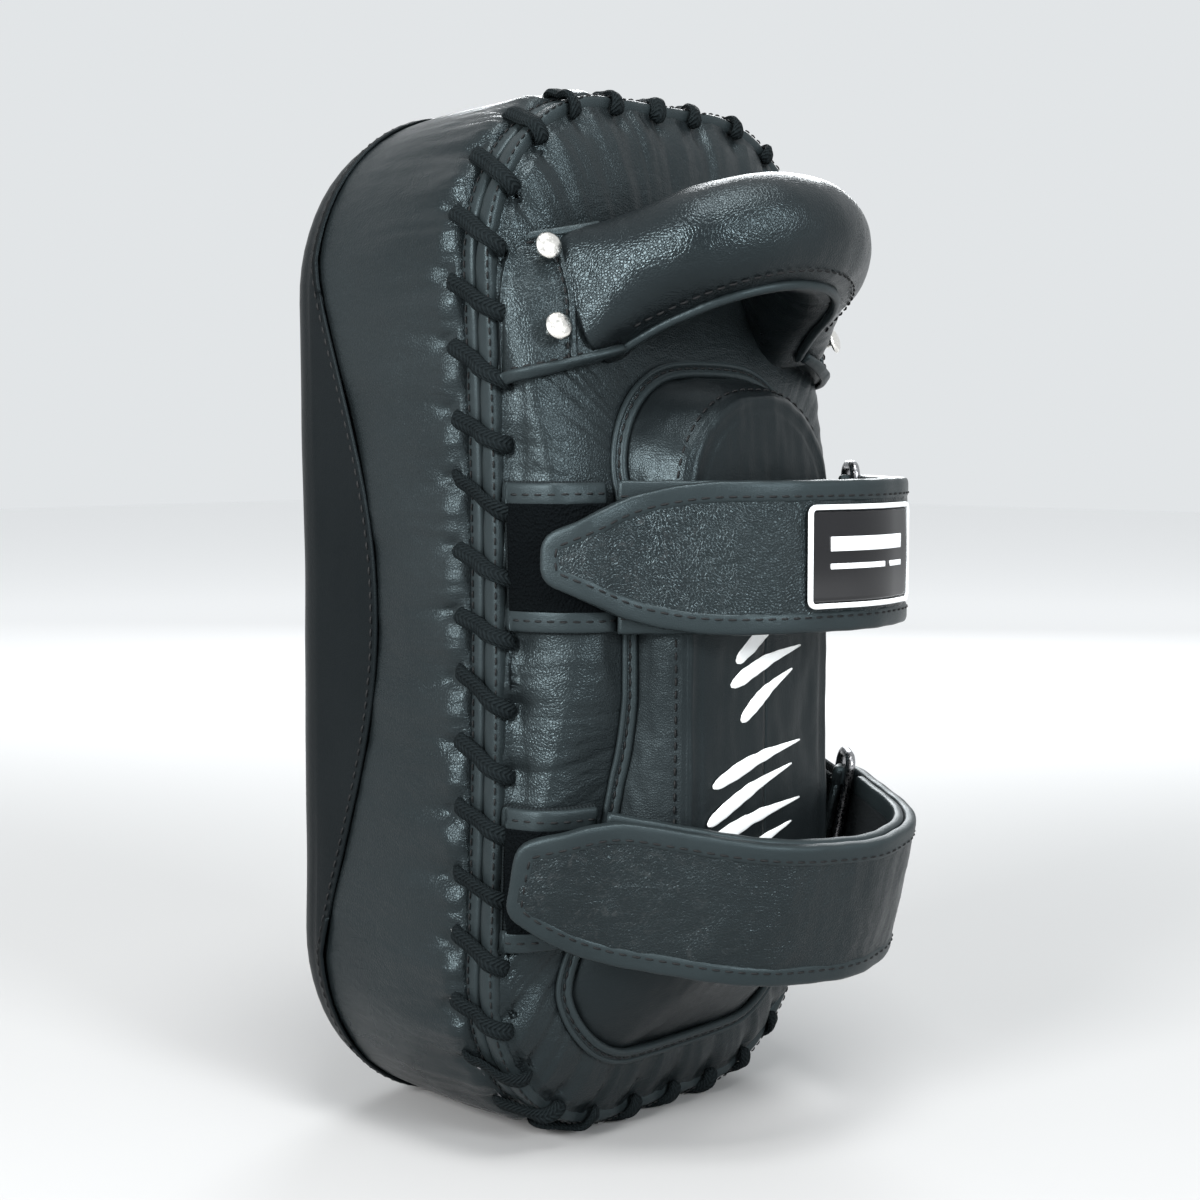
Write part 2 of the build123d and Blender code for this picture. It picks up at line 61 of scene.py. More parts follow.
def unit(vectors):
    """Vectors scaled to length 1."""
    return vectors / np.maximum(np.linalg.norm(vectors, axis=-1, keepdims=True), 1e-9)


def travelled(line):
    """Distance of each point of a polyline from its start."""
    return np.concatenate([[0], np.cumsum(np.linalg.norm(np.diff(line, axis=0), axis=1))])


def look_up(places, distances, values):
    """Rows given at some distances, interpolated at other places."""
    return np.column_stack([np.interp(places, distances, column) for column in np.asarray(values).T])


def sideways(run):
    """Directions in a plane turned a quarter to the right."""
    return np.column_stack([run[:, 1], -run[:, 0]])


def at_depth(flat, y):
    """Points in space from points in X and Z and their Y."""
    return np.column_stack([flat[:, 0], np.broadcast_to(y, (len(flat),)), flat[:, 1]])


def fillet_path(points, radii, closed=False, arc_points=16):
    """Dense polyline through 2-D points whose corners are rounded by arcs."""
    points = [np.array(p, float) for p in points]
    count = len(points)
    corners = range(count) if closed else range(1, count - 1)
    dense = [] if closed else [points[0]]
    for radius, i in zip(radii, corners):
        before = unit(points[i - 1] - points[i])
        after = unit(points[(i + 1) % count] - points[i])
        half = math.acos(float(np.clip(before @ after, -1, 1))) / 2
        reach = radius / math.tan(half)
        centre = points[i] + unit(before + after) * radius / math.sin(half)
        first = points[i] + before * reach - centre
        last = points[i] + after * reach - centre
        start = math.atan2(first[1], first[0])
        turn = (math.atan2(last[1], last[0]) - start + math.pi) % (2 * math.pi) - math.pi
        for step in range(arc_points + 1):
            angle = start + turn * step / arc_points
            dense.append(centre + radius * np.array([math.cos(angle), math.sin(angle)]))
    if not closed:
        dense.append(points[-1])
    return np.array(dense)


def resample(points, count, closed=False):
    """Evenly spaced points along a polyline."""
    line = np.vstack([points, points[:1]]) if closed else np.asarray(points)
    lengths = travelled(line)
    places = np.linspace(0, lengths[-1], count, endpoint=not closed)
    return look_up(places, lengths, line)


def directions(points, closed=False):
    """Unit tangents of an evenly spaced polyline."""
    if closed:
        return unit(np.roll(points, -1, 0) - np.roll(points, 1, 0))
    return unit(np.gradient(points, axis=0))


def outline(half_width, middle, half_height, corner, waist, inset=0.0, count=AROUND):
    """Points of the pad's rounded outline in X and Z, from the top middle down the left side and round."""
    w, h, r = half_width - inset, half_height - inset, corner - inset
    half_turn = math.atan2(waist, h)
    ease = 0.8 * (h - r) / math.tan(half_turn)
    corners = [(0, middle + h), (-w, middle + h), (-w + waist, middle), (-w, middle - h),
               (w, middle - h), (w - waist, middle), (w, middle + h)]
    radii = [r, ease, r, r, ease, r]
    dense = fillet_path([*corners, corners[0]], radii)
    return resample(dense[:-1], count, closed=True)


def wobble(points, scale, depth=2, seed=SEED):
    """Smooth noise from about -1 to 1 at each point; scale is the size of a bump in millimetres."""
    flat = np.asarray(points, float).reshape(-1, 3)
    scale = np.broadcast_to(np.asarray(scale, float), (3,))
    values = [noise.fractal(Vector(p / scale) + seed, 1.0, 2.0, depth) for p in flat]
    return np.array(values).reshape(np.asarray(points).shape[:-1])


def turned_inwards(mesh):
    """Whether a surface's faces look towards its own middle, taken over all of them."""
    count = len(mesh.polygons)
    centres, normals, areas = np.zeros(count * 3), np.zeros(count * 3), np.zeros(count)
    mesh.polygons.foreach_get("center", centres)
    mesh.polygons.foreach_get("normal", normals)
    mesh.polygons.foreach_get("area", areas)
    centres, normals = centres.reshape(-1, 3), normals.reshape(-1, 3)
    middle = (centres * areas[:, None]).sum(0) / areas.sum()
    return float((areas * ((centres - middle) * normals).sum(1)).sum()) < 0


def make_mesh(name, vertices, faces, material, uvs=None, smooth=True):
    """New object from points in millimetres, with its faces turned outwards."""
    mesh = bpy.data.meshes.new(name)
    mesh.from_pydata((np.asarray(vertices) * MM).tolist(), [], faces)
    if turned_inwards(mesh):
        mesh.flip_normals()
    if uvs is not None:
        layer = mesh.uv_layers.new(name="UVMap")
        loops = np.zeros(len(mesh.loops), dtype=np.int32)
        mesh.loops.foreach_get("vertex_index", loops)
        layer.data.foreach_set("uv", np.asarray(uvs, dtype=np.float32)[loops].ravel())
    mesh.polygons.foreach_set("use_smooth", [smooth] * len(mesh.polygons))
    mesh.update()
    piece = bpy.data.objects.new(name, mesh)
    bpy.context.scene.collection.objects.link(piece)
    piece.data.materials.append(material)
    return piece


def grid(name, rows, material, wrap_rows=False, wrap_columns=False, caps=False):
    """Surface through a grid of points; caps close the first and last row with a fan."""
    rows = np.asarray(rows, float)
    n, m = rows.shape[:2]
    vertices = rows.reshape(-1, 3)
    faces = []
    for i in range(n if wrap_rows else n - 1):
        for j in range(m if wrap_columns else m - 1):
            a, b = i * m + j, i * m + (j + 1) % m
            c, d = ((i + 1) % n) * m + (j + 1) % m, ((i + 1) % n) * m + j
            faces.append((a, b, c, d))
    width = np.linalg.norm(np.diff(rows, axis=1), axis=2).sum(1).mean()
    u, v = np.meshgrid(travelled(rows.mean(1)), np.linspace(0, width, m), indexing="ij")
    uvs = np.column_stack([u.ravel(), v.ravel()])
    if caps:
        for i in (0, n - 1):
            centre = len(vertices)
            vertices = np.vstack([vertices, rows[i].mean(0)])
            uvs = np.vstack([uvs, uvs[i * m]])
            for j in range(m if wrap_columns else m - 1):
                a, b = i * m + j, i * m + (j + 1) % m
                faces.append((b, a, centre) if i == 0 else (a, b, centre))
    return make_mesh(name, vertices, faces, material, uvs)


def squared(angles, power):
    """Section with squarer corners for a higher power; 2 is an ellipse."""
    return [np.sign(wave) * np.abs(wave) ** (2 / power) for wave in (np.cos(angles), np.sin(angles))]


def sweep(name, path, side, lift, half_side, half_lift, material, closed=False, power=2.0, ribs=0, rib=0.0,
          points=20, taper_ends=False):
    """Cord or strip swept along a path; side and lift are the section's two unit directions."""
    angles = np.linspace(0, 2 * math.pi, points, endpoint=False)
    shape_c, shape_s = squared(angles, power)
    swell = 1 + rib * np.cos(ribs * angles)
    half_side = np.broadcast_to(half_side, (len(path),))
    half_lift = np.broadcast_to(half_lift, (len(path),))
    if taper_ends:
        ends = np.clip(np.minimum(np.arange(len(path)), np.arange(len(path))[::-1]) / 3 + 0.35, 0, 1) ** 0.5
        half_side, half_lift = half_side * ends, half_lift * ends
    rows = (path[:, None] + side[:, None] * (half_side[:, None] * shape_c * swell)[..., None]
            + lift[:, None] * (half_lift[:, None] * shape_s * swell)[..., None])
    return grid(name, rows, material, wrap_rows=closed, wrap_columns=True, caps=not closed)


def stitch_row(name, path, lift, pitch=4.6, length=3.0, radius=0.42, closed=False):
    """Row of thread stitches lying on a surface along a path."""
    path, lift = np.asarray(path), np.asarray(lift)
    line = np.vstack([path, path[:1]]) if closed else path
    lifts = np.vstack([lift, lift[:1]]) if closed else lift
    lengths = travelled(line)
    count = max(2, int(lengths[-1] / pitch))
    vertices, faces = [], []
    around = np.linspace(0, 2 * math.pi, STITCH_SIDES, endpoint=False)
    shares = (-0.5, -0.38, 0.0, 0.38, 0.5)
    swells = (0.35, 0.85, 1.0, 0.85, 0.35)
    for k in range(count):
        middle = (k + 0.5) * lengths[-1] / count
        base = len(vertices)
        here = unit(look_up([middle], lengths, lifts)[0])
        ends = look_up([middle - length / 2, middle + length / 2], lengths, line)
        along = unit(ends[1] - ends[0])
        side = np.cross(along, here)
        for share, swell in zip(shares, swells):
            arch = (1 - (2 * share) ** 2) * radius * 0.8 - STITCH_SINK
            centre = (ends[0] + ends[1]) / 2 + along * share * length + here * arch
            for angle in around:
                vertices.append(centre + radius * swell * (side * math.cos(angle) + here * math.sin(angle)))
        last = base + (len(shares) - 1) * STITCH_SIDES
        for row in range(base, last, STITCH_SIDES):
            for j in range(STITCH_SIDES):
                a, b = row + j, row + (j + 1) % STITCH_SIDES
                faces.append((a, b, b + STITCH_SIDES, a + STITCH_SIDES))
        faces.append(tuple(reversed(range(base, base + STITCH_SIDES))))
        faces.append(tuple(range(last, last + STITCH_SIDES)))
    return make_mesh(name, vertices, faces, M_THREAD)


def solidify(piece, thickness):
    """Give a sheet its thickness on the inner side."""
    shell = piece.modifiers.new("thickness", "SOLIDIFY")
    shell.thickness = thickness * MM
    shell.offset = -1


# ---------------------------------------------------------------- materials

def new_material(name, color, roughness, **sockets):
    """Principled material; returns it with its node tree and shader."""
    material = bpy.data.materials.new(name)
    material.use_nodes = True
    tree = material.node_tree
    shader = tree.nodes["Principled BSDF"]
    shader.inputs["Base Color"].default_value = (*color, 1)
    shader.inputs["Roughness"].default_value = roughness
    for socket, value in sockets.items():
        shader.inputs[socket.replace("_", " ")].default_value = value
    return material, tree, shader


def node(tree, kind, settings=None, **inputs):
    """Add a shader node with its settings and input values or links."""
    made = tree.nodes.new(kind)
    for key, value in (settings or {}).items():
        setattr(made, key, value)
    for key, value in inputs.items():
        numbered = key[0] == "i" and key[1:].isdigit()
        socket = made.inputs[int(key[1:]) if numbered else key.replace("_", " ")]
        if isinstance(value, bpy.types.NodeSocket):
            tree.links.new(value, socket)
        else:
            socket.default_value = value
    return made


def math_node(tree, operation, a, b=0.0):
    """Result of one sum on sockets or numbers."""
    return node(tree, "ShaderNodeMath", {"operation": operation}, i0=a, i1=b).outputs[0]


def object_point(tree):
    """Socket with the place on the object."""
    return node(tree, "ShaderNodeTexCoord").outputs["Object"]


def noise_node(tree, point, scale, detail, settings=None, **inputs):
    """Value of a noise texture."""
    made = node(tree, "ShaderNodeTexNoise", settings, Vector=point, Scale=scale, Detail=detail, **inputs)
    return made.outputs["Fac"]


def remap(tree, value, low, high, to_low=0.0, to_high=1.0):
    """A socket's range turned into another range."""
    return node(tree, "ShaderNodeMapRange", Value=value, From_Min=low, From_Max=high, To_Min=to_low,
                To_Max=to_high).outputs[0]


def bump_node(tree, strength, distance, height, **inputs):
    """Normal bent by a height."""
    return node(tree, "ShaderNodeBump", Strength=strength, Distance=distance, Height=height,
                **inputs).outputs[0]


def mix_colors(tree, factor, first, second):
    """Blend of two colours or colour sockets."""
    colors = [c if isinstance(c, bpy.types.NodeSocket) else (*c, 1) for c in (first, second)]
    return node(tree, "ShaderNodeMix", {"data_type": "RGBA"}, Factor=factor, i6=colors[0],
                i7=colors[1]).outputs[2]


def leather(name, color, roughness, grain=1.1, grain_depth=0.25, crease=0.35, scuff=0.0, shine=0.42):
    """Grained leather: pebble cells, soft creases, uneven gloss and slight colour variation."""
    material, tree, shader = new_material(name, color, roughness, Specular_IOR_Level=shine,
                                          Specular_Tint=SHEEN_TINT, Coat_Weight=0.0)
    point = object_point(tree)
    cells = node(tree, "ShaderNodeTexVoronoi", {"feature": "DISTANCE_TO_EDGE"}, Vector=point,
                 Scale=1000 / grain)
    pebble = remap(tree, cells.outputs["Distance"], 0.0, 0.25)
    fine = noise_node(tree, point, 1600.0, 3.0)
    stretched = node(tree, "ShaderNodeMapping", Vector=point, Scale=(1.0, 1.0, 2.6)).outputs[0]
    folds = noise_node(tree, stretched, 62.0, 6.0, Roughness=0.62, Distortion=0.9)
    ridges = noise_node(tree, stretched, 150.0, 4.0, {"noise_type": "RIDGED_MULTIFRACTAL"}, Roughness=0.55,
                        Distortion=1.2)
    wide = noise_node(tree, point, 14.0, 4.0)
    normal = bump_node(tree, grain_depth, 0.00035, pebble)
    normal = bump_node(tree, grain_depth * 0.5, 0.0001, fine, Normal=normal)
    normal = bump_node(tree, crease * 0.5, 0.0004, ridges, Normal=normal)
    normal = bump_node(tree, crease, 0.0020, folds, Normal=normal)
    tree.links.new(normal, shader.inputs["Normal"])
    gloss = remap(tree, wide, 0.3, 0.7, roughness - 0.07, roughness + 0.1)
    tree.links.new(gloss, shader.inputs["Roughness"])
    lighter = tuple(min(1, c * 1.55 + 0.004) for c in color)
    result = mix_colors(tree, wide, color, lighter)
    if scuff:
        scratch = noise_node(tree, point, 210.0, 8.0, Roughness=0.75, Distortion=1.5)
        along_x = node(tree, "ShaderNodeSeparateXYZ", Vector=point).outputs["X"]
        near_tip = remap(tree, along_x, -0.066, -0.022, 1.0, 0.06)
        worn = math_node(tree, "MULTIPLY", remap(tree, scratch, 0.54, 0.70, 0.0, scuff), near_tip)
        result = mix_colors(tree, worn, result, WORN_GREY)
    tree.links.new(result, shader.inputs["Base Color"])
    return material


def ribbed(name, color, roughness, pitch, depth=0.5, cross=False):
    """Woven tape: fine ribs along its UVs, or a chevron braid."""
    material, tree, shader = new_material(name, color, roughness, Specular_IOR_Level=0.1,
                                          Specular_Tint=SHEEN_TINT)
    uv = node(tree, "ShaderNodeTexCoord").outputs["UV"]
    split = node(tree, "ShaderNodeSeparateXYZ", Vector=uv)
    u, v = split.outputs["X"], split.outputs["Y"]
    if cross:
        u = math_node(tree, "ADD", u, math_node(tree, "PINGPONG", v, pitch * 2.2))
    wave = math_node(tree, "SINE", math_node(tree, "MULTIPLY", u, 2 * math.pi / pitch))
    thread = math_node(tree, "SINE", math_node(tree, "MULTIPLY", v, 2 * math.pi / (pitch * 0.8)))
    both = math_node(tree, "ADD", wave, math_node(tree, "MULTIPLY", thread, 0.45))
    fuzz = math_node(tree, "MULTIPLY", noise_node(tree, object_point(tree), 2600.0, 2.0), 1.2)
    normal = bump_node(tree, depth, 0.00022, math_node(tree, "ADD", both, fuzz))
    tree.links.new(normal, shader.inputs["Normal"])
    # Painted shade and highlight: the tone follows the rib height, darker in the troughs and lighter on the
    # crests.
    dark = tuple(c * 0.5 for c in color)
    light = tuple(min(1, c * 1.5) for c in color)
    tone = mix_colors(tree, remap(tree, both, -1.4, 1.4), dark, light)
    tree.links.new(tone, shader.inputs["Base Color"])
    return material


def pile_material(name, color):
    """Matted loop pile."""
    material, tree, shader = new_material(name, color, 0.95, Specular_IOR_Level=0.03)
    point = object_point(tree)
    loops = node(tree, "ShaderNodeTexVoronoi", Vector=point, Scale=900.0).outputs["Distance"]
    matted = noise_node(tree, point, 420.0, 5.0, Roughness=0.8)
    normal = bump_node(tree, 1.0, 0.0009, math_node(tree, "ADD", loops, matted))
    tree.links.new(normal, shader.inputs["Normal"])
    # Painted highlight: the pile is painted lighter where the matted tufts stand highest.
    paler_raised_tufts = remap(tree, matted, 0.6, 0.8, 0.0, 0.5)
    tone = mix_colors(tree, paler_raised_tufts, color, tuple(c * 4 for c in color))
    tree.links.new(tone, shader.inputs["Base Color"])
    return material


def metal(name, color, roughness):
    """Plated wire or rivet with faint handling marks."""
    material, tree, shader = new_material(name, color, roughness, Metallic=1.0)
    marks = noise_node(tree, object_point(tree), 900.0, 5.0)
    rough = remap(tree, marks, 0.35, 0.7, roughness * 0.7, roughness * 1.8)
    tree.links.new(rough, shader.inputs["Roughness"])
    tree.links.new(bump_node(tree, 0.05, 0.0001, marks), shader.inputs["Normal"])
    return material


def plain(name, color, roughness, grain=700.0, depth=0.1, **sockets):
    """Moulded or printed surface with a faint texture."""
    material, tree, shader = new_material(name, color, roughness, **sockets)
    speckle = noise_node(tree, object_point(tree), grain, 4.0)
    tree.links.new(bump_node(tree, depth, 0.00015, speckle), shader.inputs["Normal"])
    return material


SHEEN_TINT = (0.72, 0.93, 1.0, 1)
WORN_GREY = (0.16, 0.165, 0.165)
M_COVER = leather("cover leather", (0.0032, 0.0047, 0.0053), 0.29, crease=0.28, shine=0.28)
M_STRIKE = leather("strike leather", (0.0016, 0.0025, 0.0030), 0.38, grain=0.9, grain_depth=0.15, crease=0.08,
                   shine=0.08)
M_CUSHION = leather("cushion leather", (0.0030, 0.0043, 0.0049), 0.31, grain=0.9, grain_depth=0.15,
                    crease=0.08, shine=0.20)
M_STRAP = leather("strap leather", (0.0030, 0.0043, 0.0048), 0.30, grain_depth=0.4, crease=0.30, scuff=0.11,
                  shine=0.28)
M_GRIP = leather("grip leather", (0.0026, 0.0038, 0.0044), 0.27, crease=0.12, shine=0.26)
M_BINDING = leather("binding", (0.0075, 0.0106, 0.0116), 0.38, grain=0.7, grain_depth=0.15, crease=0.10,
                    shine=0.24)
M_LACE = ribbed("lace braid", (0.0040, 0.0054, 0.0060), 0.8, 1.7, depth=1.0, cross=True)
M_THREAD = plain("thread", (0.0035, 0.004, 0.0045), 0.6, grain=3000.0, depth=0.4, Specular_IOR_Level=0.2)
M_PILE = pile_material("loop pile", (0.0018, 0.0026, 0.0031))
M_WEBBING = ribbed("webbing", (0.009, 0.0112, 0.0122), 0.7, 1.4, depth=0.9)
M_LINING = leather("textile lining", (0.005, 0.0055, 0.006), 0.7, grain=0.6, grain_depth=0.5, crease=0.6,
                   shine=0.2)
M_HOOK = plain("hook tape", (0.006, 0.006, 0.007), 0.6, grain=1500.0, depth=0.8, Specular_IOR_Level=0.25)
M_RIVET = metal("bright nickel", (0.83, 0.81, 0.77), 0.2)
M_RING = metal("dark nickel", (0.30, 0.30, 0.31), 0.25)
M_GLOSS = plain("badge gloss", (0.003, 0.003, 0.004), 0.07, depth=0.02, Specular_IOR_Level=0.5)
M_WHITE = plain("badge white", (0.72, 0.74, 0.75), 0.45)
M_PRINT = plain("brush print", (0.78, 0.80, 0.80), 0.5, grain=400.0, depth=0.4)
M_FOAM = plain("foam", (0.14, 0.14, 0.15), 0.9, grain=600.0, depth=0.8)
M_FRAY = plain("fray", (0.30, 0.31, 0.31), 0.9)

PAD = "pad"


def place(piece, body, slot, *nodes):
    """Ride a piece on its body and hide the CAD nodes it stands for; its slot is not used."""
    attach(piece, body)
    if nodes:
        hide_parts(*nodes)
    return piece


def stitches(name, path, lift, body=PAD, slot="binding", **settings):
    """Row of stitches riding on a body."""
    return place(stitch_row(name, path, lift, **settings), body, slot)


def tape(name, path, lift, half_side, half_lift, material, body=PAD, slot="binding", nodes=(), closed=False,
         **settings):
    """Strip along a path, riding on a body; lift points away from what it lies on."""
    side = unit(np.cross(directions(path, closed), lift))
    piece = sweep(name, path, side, lift, half_side, half_lift, material, closed=closed, **settings)
    return place(piece, body, slot, *nodes)


# ---------------------------------------------------------------- padded block

RIM_LINE, STRIKE_LINE = outline(**RIM), outline(**STRIKE)
TURN = directions(RIM_LINE, closed=True)
OUTWARDS = sideways(TURN)
RIM_LENGTH = float(np.linalg.norm(np.roll(RIM_LINE, -1, 0) - RIM_LINE, axis=1).sum())
PITCH = RIM_LENGTH / STITCHES
RUN = np.arange(AROUND) * RIM_LENGTH / AROUND
FRONT_HOLE, BACK_HOLE = -5.5, 5.5          # where each stitch starts and ends along the rim


def side_points(y, inset=0.0):
    """Points of the block's side wall at a Y for every place round the outline."""
    y = np.broadcast_to(np.asarray(y, float), (AROUND,))
    share = np.clip((y - RIM_Y) / (STRIKE_Y - STRIKE_EDGE - RIM_Y), 0, 1)[:, None]
    inset = np.broadcast_to(inset, (AROUND,))[:, None]
    flat = RIM_LINE * (1 - share) + STRIKE_LINE * share - OUTWARDS * inset
    return at_depth(flat, y)


def seam_y(z):
    """Wavy seam between the gusset and the strike cover."""
    return 40 - 37 * 0.5 * (1 + np.cos(2 * math.pi * (z - 199) / 365))


def surface_normals(rows, centre):
    """Outward normals of a closed band of points."""
    down = np.gradient(rows, axis=0)
    around = np.roll(rows, -1, 1) - np.roll(rows, 1, 1)
    normal = unit(np.cross(down, around))
    facing = np.sign(((rows - centre) * normal).sum(-1))
    return normal * np.where(facing == 0, 1, facing)[..., None]


def on_floor(rows, lowest=0.15):
    """Flatten what would reach below the surface that the pad stands on."""
    rows = np.array(rows)
    rows[..., 2] = np.maximum(rows[..., 2], lowest)
    return rows


def from_hole(hole):
    """How far along the rim every place is from the nearest lace hole."""
    return (RUN - hole + PITCH / 2) % PITCH - PITCH / 2


def lace_pull(distance, hole, depth, spread):
    """Dimples at the lace holes and gathers that fade away from them."""
    offset = from_hole(hole)
    dimple = -depth * np.exp(-(offset / 2.4) ** 2 - ((distance - 4) / 4.5) ** 2)
    gather = -0.55 * depth * np.cos(2 * math.pi * offset / PITCH) * np.exp(-distance / spread)
    return dimple + gather


def around_ring(distance, stretch):
    """Noise places that close on themselves round the rim and run away from it."""
    turn = RUN / RIM_LENGTH * 2 * math.pi
    ring = np.stack([np.cos(turn), np.sin(turn)], axis=-1) * RIM_LENGTH / 6.283
    ring = np.broadcast_to(ring, (*distance.shape, 2))
    return np.concatenate([ring, distance[..., None] * stretch], axis=-1)


def build_gusset():
    """Side leather from the seam to the rim, gathered by the lace."""
    seam = seam_y(STRIKE_LINE[:, 1])
    shares = np.linspace(0, 1, 52) ** 0.9
    rows = np.array([side_points(seam + (WELT_FRONT_Y - seam) * t) for t in shares])
    distance = rows[..., 1] - WELT_FRONT_Y
    folds = wobble(around_ring(distance, 0.14), 5.5, depth=3) * np.exp(-distance / 26)
    soft = wobble(around_ring(distance, 0.6), 26.0, depth=2, seed=Vector((9, 2, 5)))
    tucked = -0.9 * np.exp(-((rows[..., 1] - seam[None]) / 3.0) ** 2)
    bulge = 0.9 * np.sin(math.pi * shares)[:, None]
    amount = lace_pull(distance, FRONT_HOLE, 2.4, 17) + 1.25 * folds + 0.75 * soft + tucked + bulge - 0.3
    rolled = 2.4 * np.clip(1 - distance / 7, 0, 1) ** 2
    amount = np.maximum(amount - rolled, -2.5)
    rows = rows + surface_normals(rows, np.array([0, 0, MIDDLE])) * amount[..., None]
    turned = [side_points(WELT_FRONT_Y - 0.7, 3.4), side_points(WELT_FRONT_Y - 1.2, 4.6),
              side_points(WELT_FRONT_Y - 1.4, 6.5)]
    rows = on_floor(np.concatenate([rows, np.array(turned)]))
    piece = grid("gusset_skin", rows, M_COVER, wrap_columns=True)
    solidify(piece, SKIN)
    place(piece, PAD, "cover_leather", "side_gusset")


def build_strike():
    """Strike cover: lapped edge on the seam, rounded edge and a nearly flat face."""
    seam = seam_y(STRIKE_LINE[:, 1])
    front = STRIKE_Y - STRIKE_EDGE
    lap = np.minimum(seam - 2.6, front - 4)
    rows = [side_points(lap, -0.2), side_points(lap - 0.1, -0.9), side_points(lap + 0.5, -1.25)]
    for t in np.linspace(0.06, 1, 22):
        rows.append(side_points(np.minimum(lap + (front - lap) * t, front), -1.1 * (1 - t) ** 0.5 - 0.15))
    for angle in np.linspace(8, 90, 12):
        margin = STRIKE_EDGE * (1 - math.cos(math.radians(angle)))
        y = front + STRIKE_EDGE * math.sin(math.radians(angle))
        rows.append(at_depth(outline(**STRIKE, inset=margin), y))
    edge = rows[-1]
    spine = np.column_stack([np.zeros(AROUND), np.full(AROUND, STRIKE_Y), np.clip(edge[:, 2], 90, 300)])
    for t in np.linspace(0.05, 0.995, 26):
        rows.append(edge * (1 - t) + spine * t)
    rows = np.array(rows)
    waves = wobble(rows, 55.0, depth=2) * 0.45 + wobble(rows, (9, 9, 40), depth=2) * 0.10
    rows = rows + surface_normals(rows, np.array([0, 0, MIDDLE])) * waves[..., None]
    rows[..., 1] = np.minimum(rows[..., 1], STRIKE_Y + 0.6)
    piece = grid("strike_skin", on_floor(rows), M_STRIKE, wrap_columns=True)
    solidify(piece, SKIN)
    place(piece, PAD, "strike_leather", "strike_cover")
    thread = side_points(lap + 2.4, -1.15)
    stitches("side_seam_stitches", on_floor(thread, 0.6), at_depth(OUTWARDS, 0), closed=True)


# ---- the pillow on the arm side, whose level lines shrink towards its top ----

PILLOW_TOP, PILLOW_EDGE = 36.8, 7.3
PILLOW_HALF_HEIGHT = 189
PILLOW_CORNER = 60


def pillow_edge(height, z):
    """Half width of the pillow's level line at a height and a Z, or -1 beyond its end."""
    dz = np.abs(z - MIDDLE)
    half_height = PILLOW_HALF_HEIGHT * np.sqrt(np.maximum(0, 1 - height / PILLOW_TOP))
    corner = np.minimum(PILLOW_CORNER, 0.85 * half_height)
    width = 59 + 30 * np.sqrt(1 - (height / 37) ** 2)
    width = width - 9 * (1 - height / 40) * np.clip(0.94 - dz / np.maximum(half_height, 1), 0, 1)
    over = np.clip(dz - (half_height - corner), 0, corner)
    edge = width - corner + np.sqrt(np.maximum(corner ** 2 - over ** 2, 0))
    return np.where(dz > half_height, -1.0, edge)


def pillow_height(x, z):
    """Height of the pillow above the rim plane at a point."""
    low, high = np.full(np.shape(x), PILLOW_EDGE), np.full(np.shape(x), CROWN)
    for _ in range(18):
        middle = (low + high) / 2
        inside = np.abs(x) <= pillow_edge(middle, z)
        low, high = np.where(inside, middle, low), np.where(inside, high, middle)
    return low


def shoulder(side, z):
    """Profile of the pillow at a Z, from the lacing up the shoulder to the middle, in X and Y."""
    top = PILLOW_TOP * (1 - (abs(z - MIDDLE) / PILLOW_HALF_HEIGHT) ** 2)
    heights = PILLOW_EDGE + (min(top, CROWN) - PILLOW_EDGE - 0.1) * np.sin(np.linspace(0, math.pi / 2, 40))
    edges = pillow_edge(heights, np.full(40, z))
    keep = edges > 0
    x = np.concatenate([[edges[0] + 2], edges[keep], [0]])
    y = np.concatenate([[WELT_BACK_Y - 0.2], RIM_Y - heights[keep], [RIM_Y - heights[keep][-1]]])
    return np.column_stack([side * x, y])


def panel_height(x, z):
    """Height of the back panel above the rim plane: the pillow, filled out towards both ends."""
    dx = np.maximum(np.abs(x) - (RIM["half_width"] - RIM["corner"]), 0)
    dz = np.maximum(np.abs(z - MIDDLE) - (MIDDLE - RIM["corner"]), 0)
    inward = np.maximum(57.4 - np.hypot(dx, dz), 0)
    share = np.clip((np.abs(z - MIDDLE) - 95) / 65, 0, 1)
    rise = 7.7 + 10.5 * share ** 2 * (3 - 2 * share) * (1 - np.exp(-inward / 13))
    pillow = pillow_height(x, z)
    crease = np.exp(-np.abs(pillow - rise) / 3.5) * np.clip(inward / 12, 0, 1) * share
    return np.maximum(pillow, rise) + 2.2 * crease


def panel_y(points):
    """Y of the back panel's surface at the X and Z of some points."""
    return RIM_Y - panel_height(points[..., 0], points[..., 2])


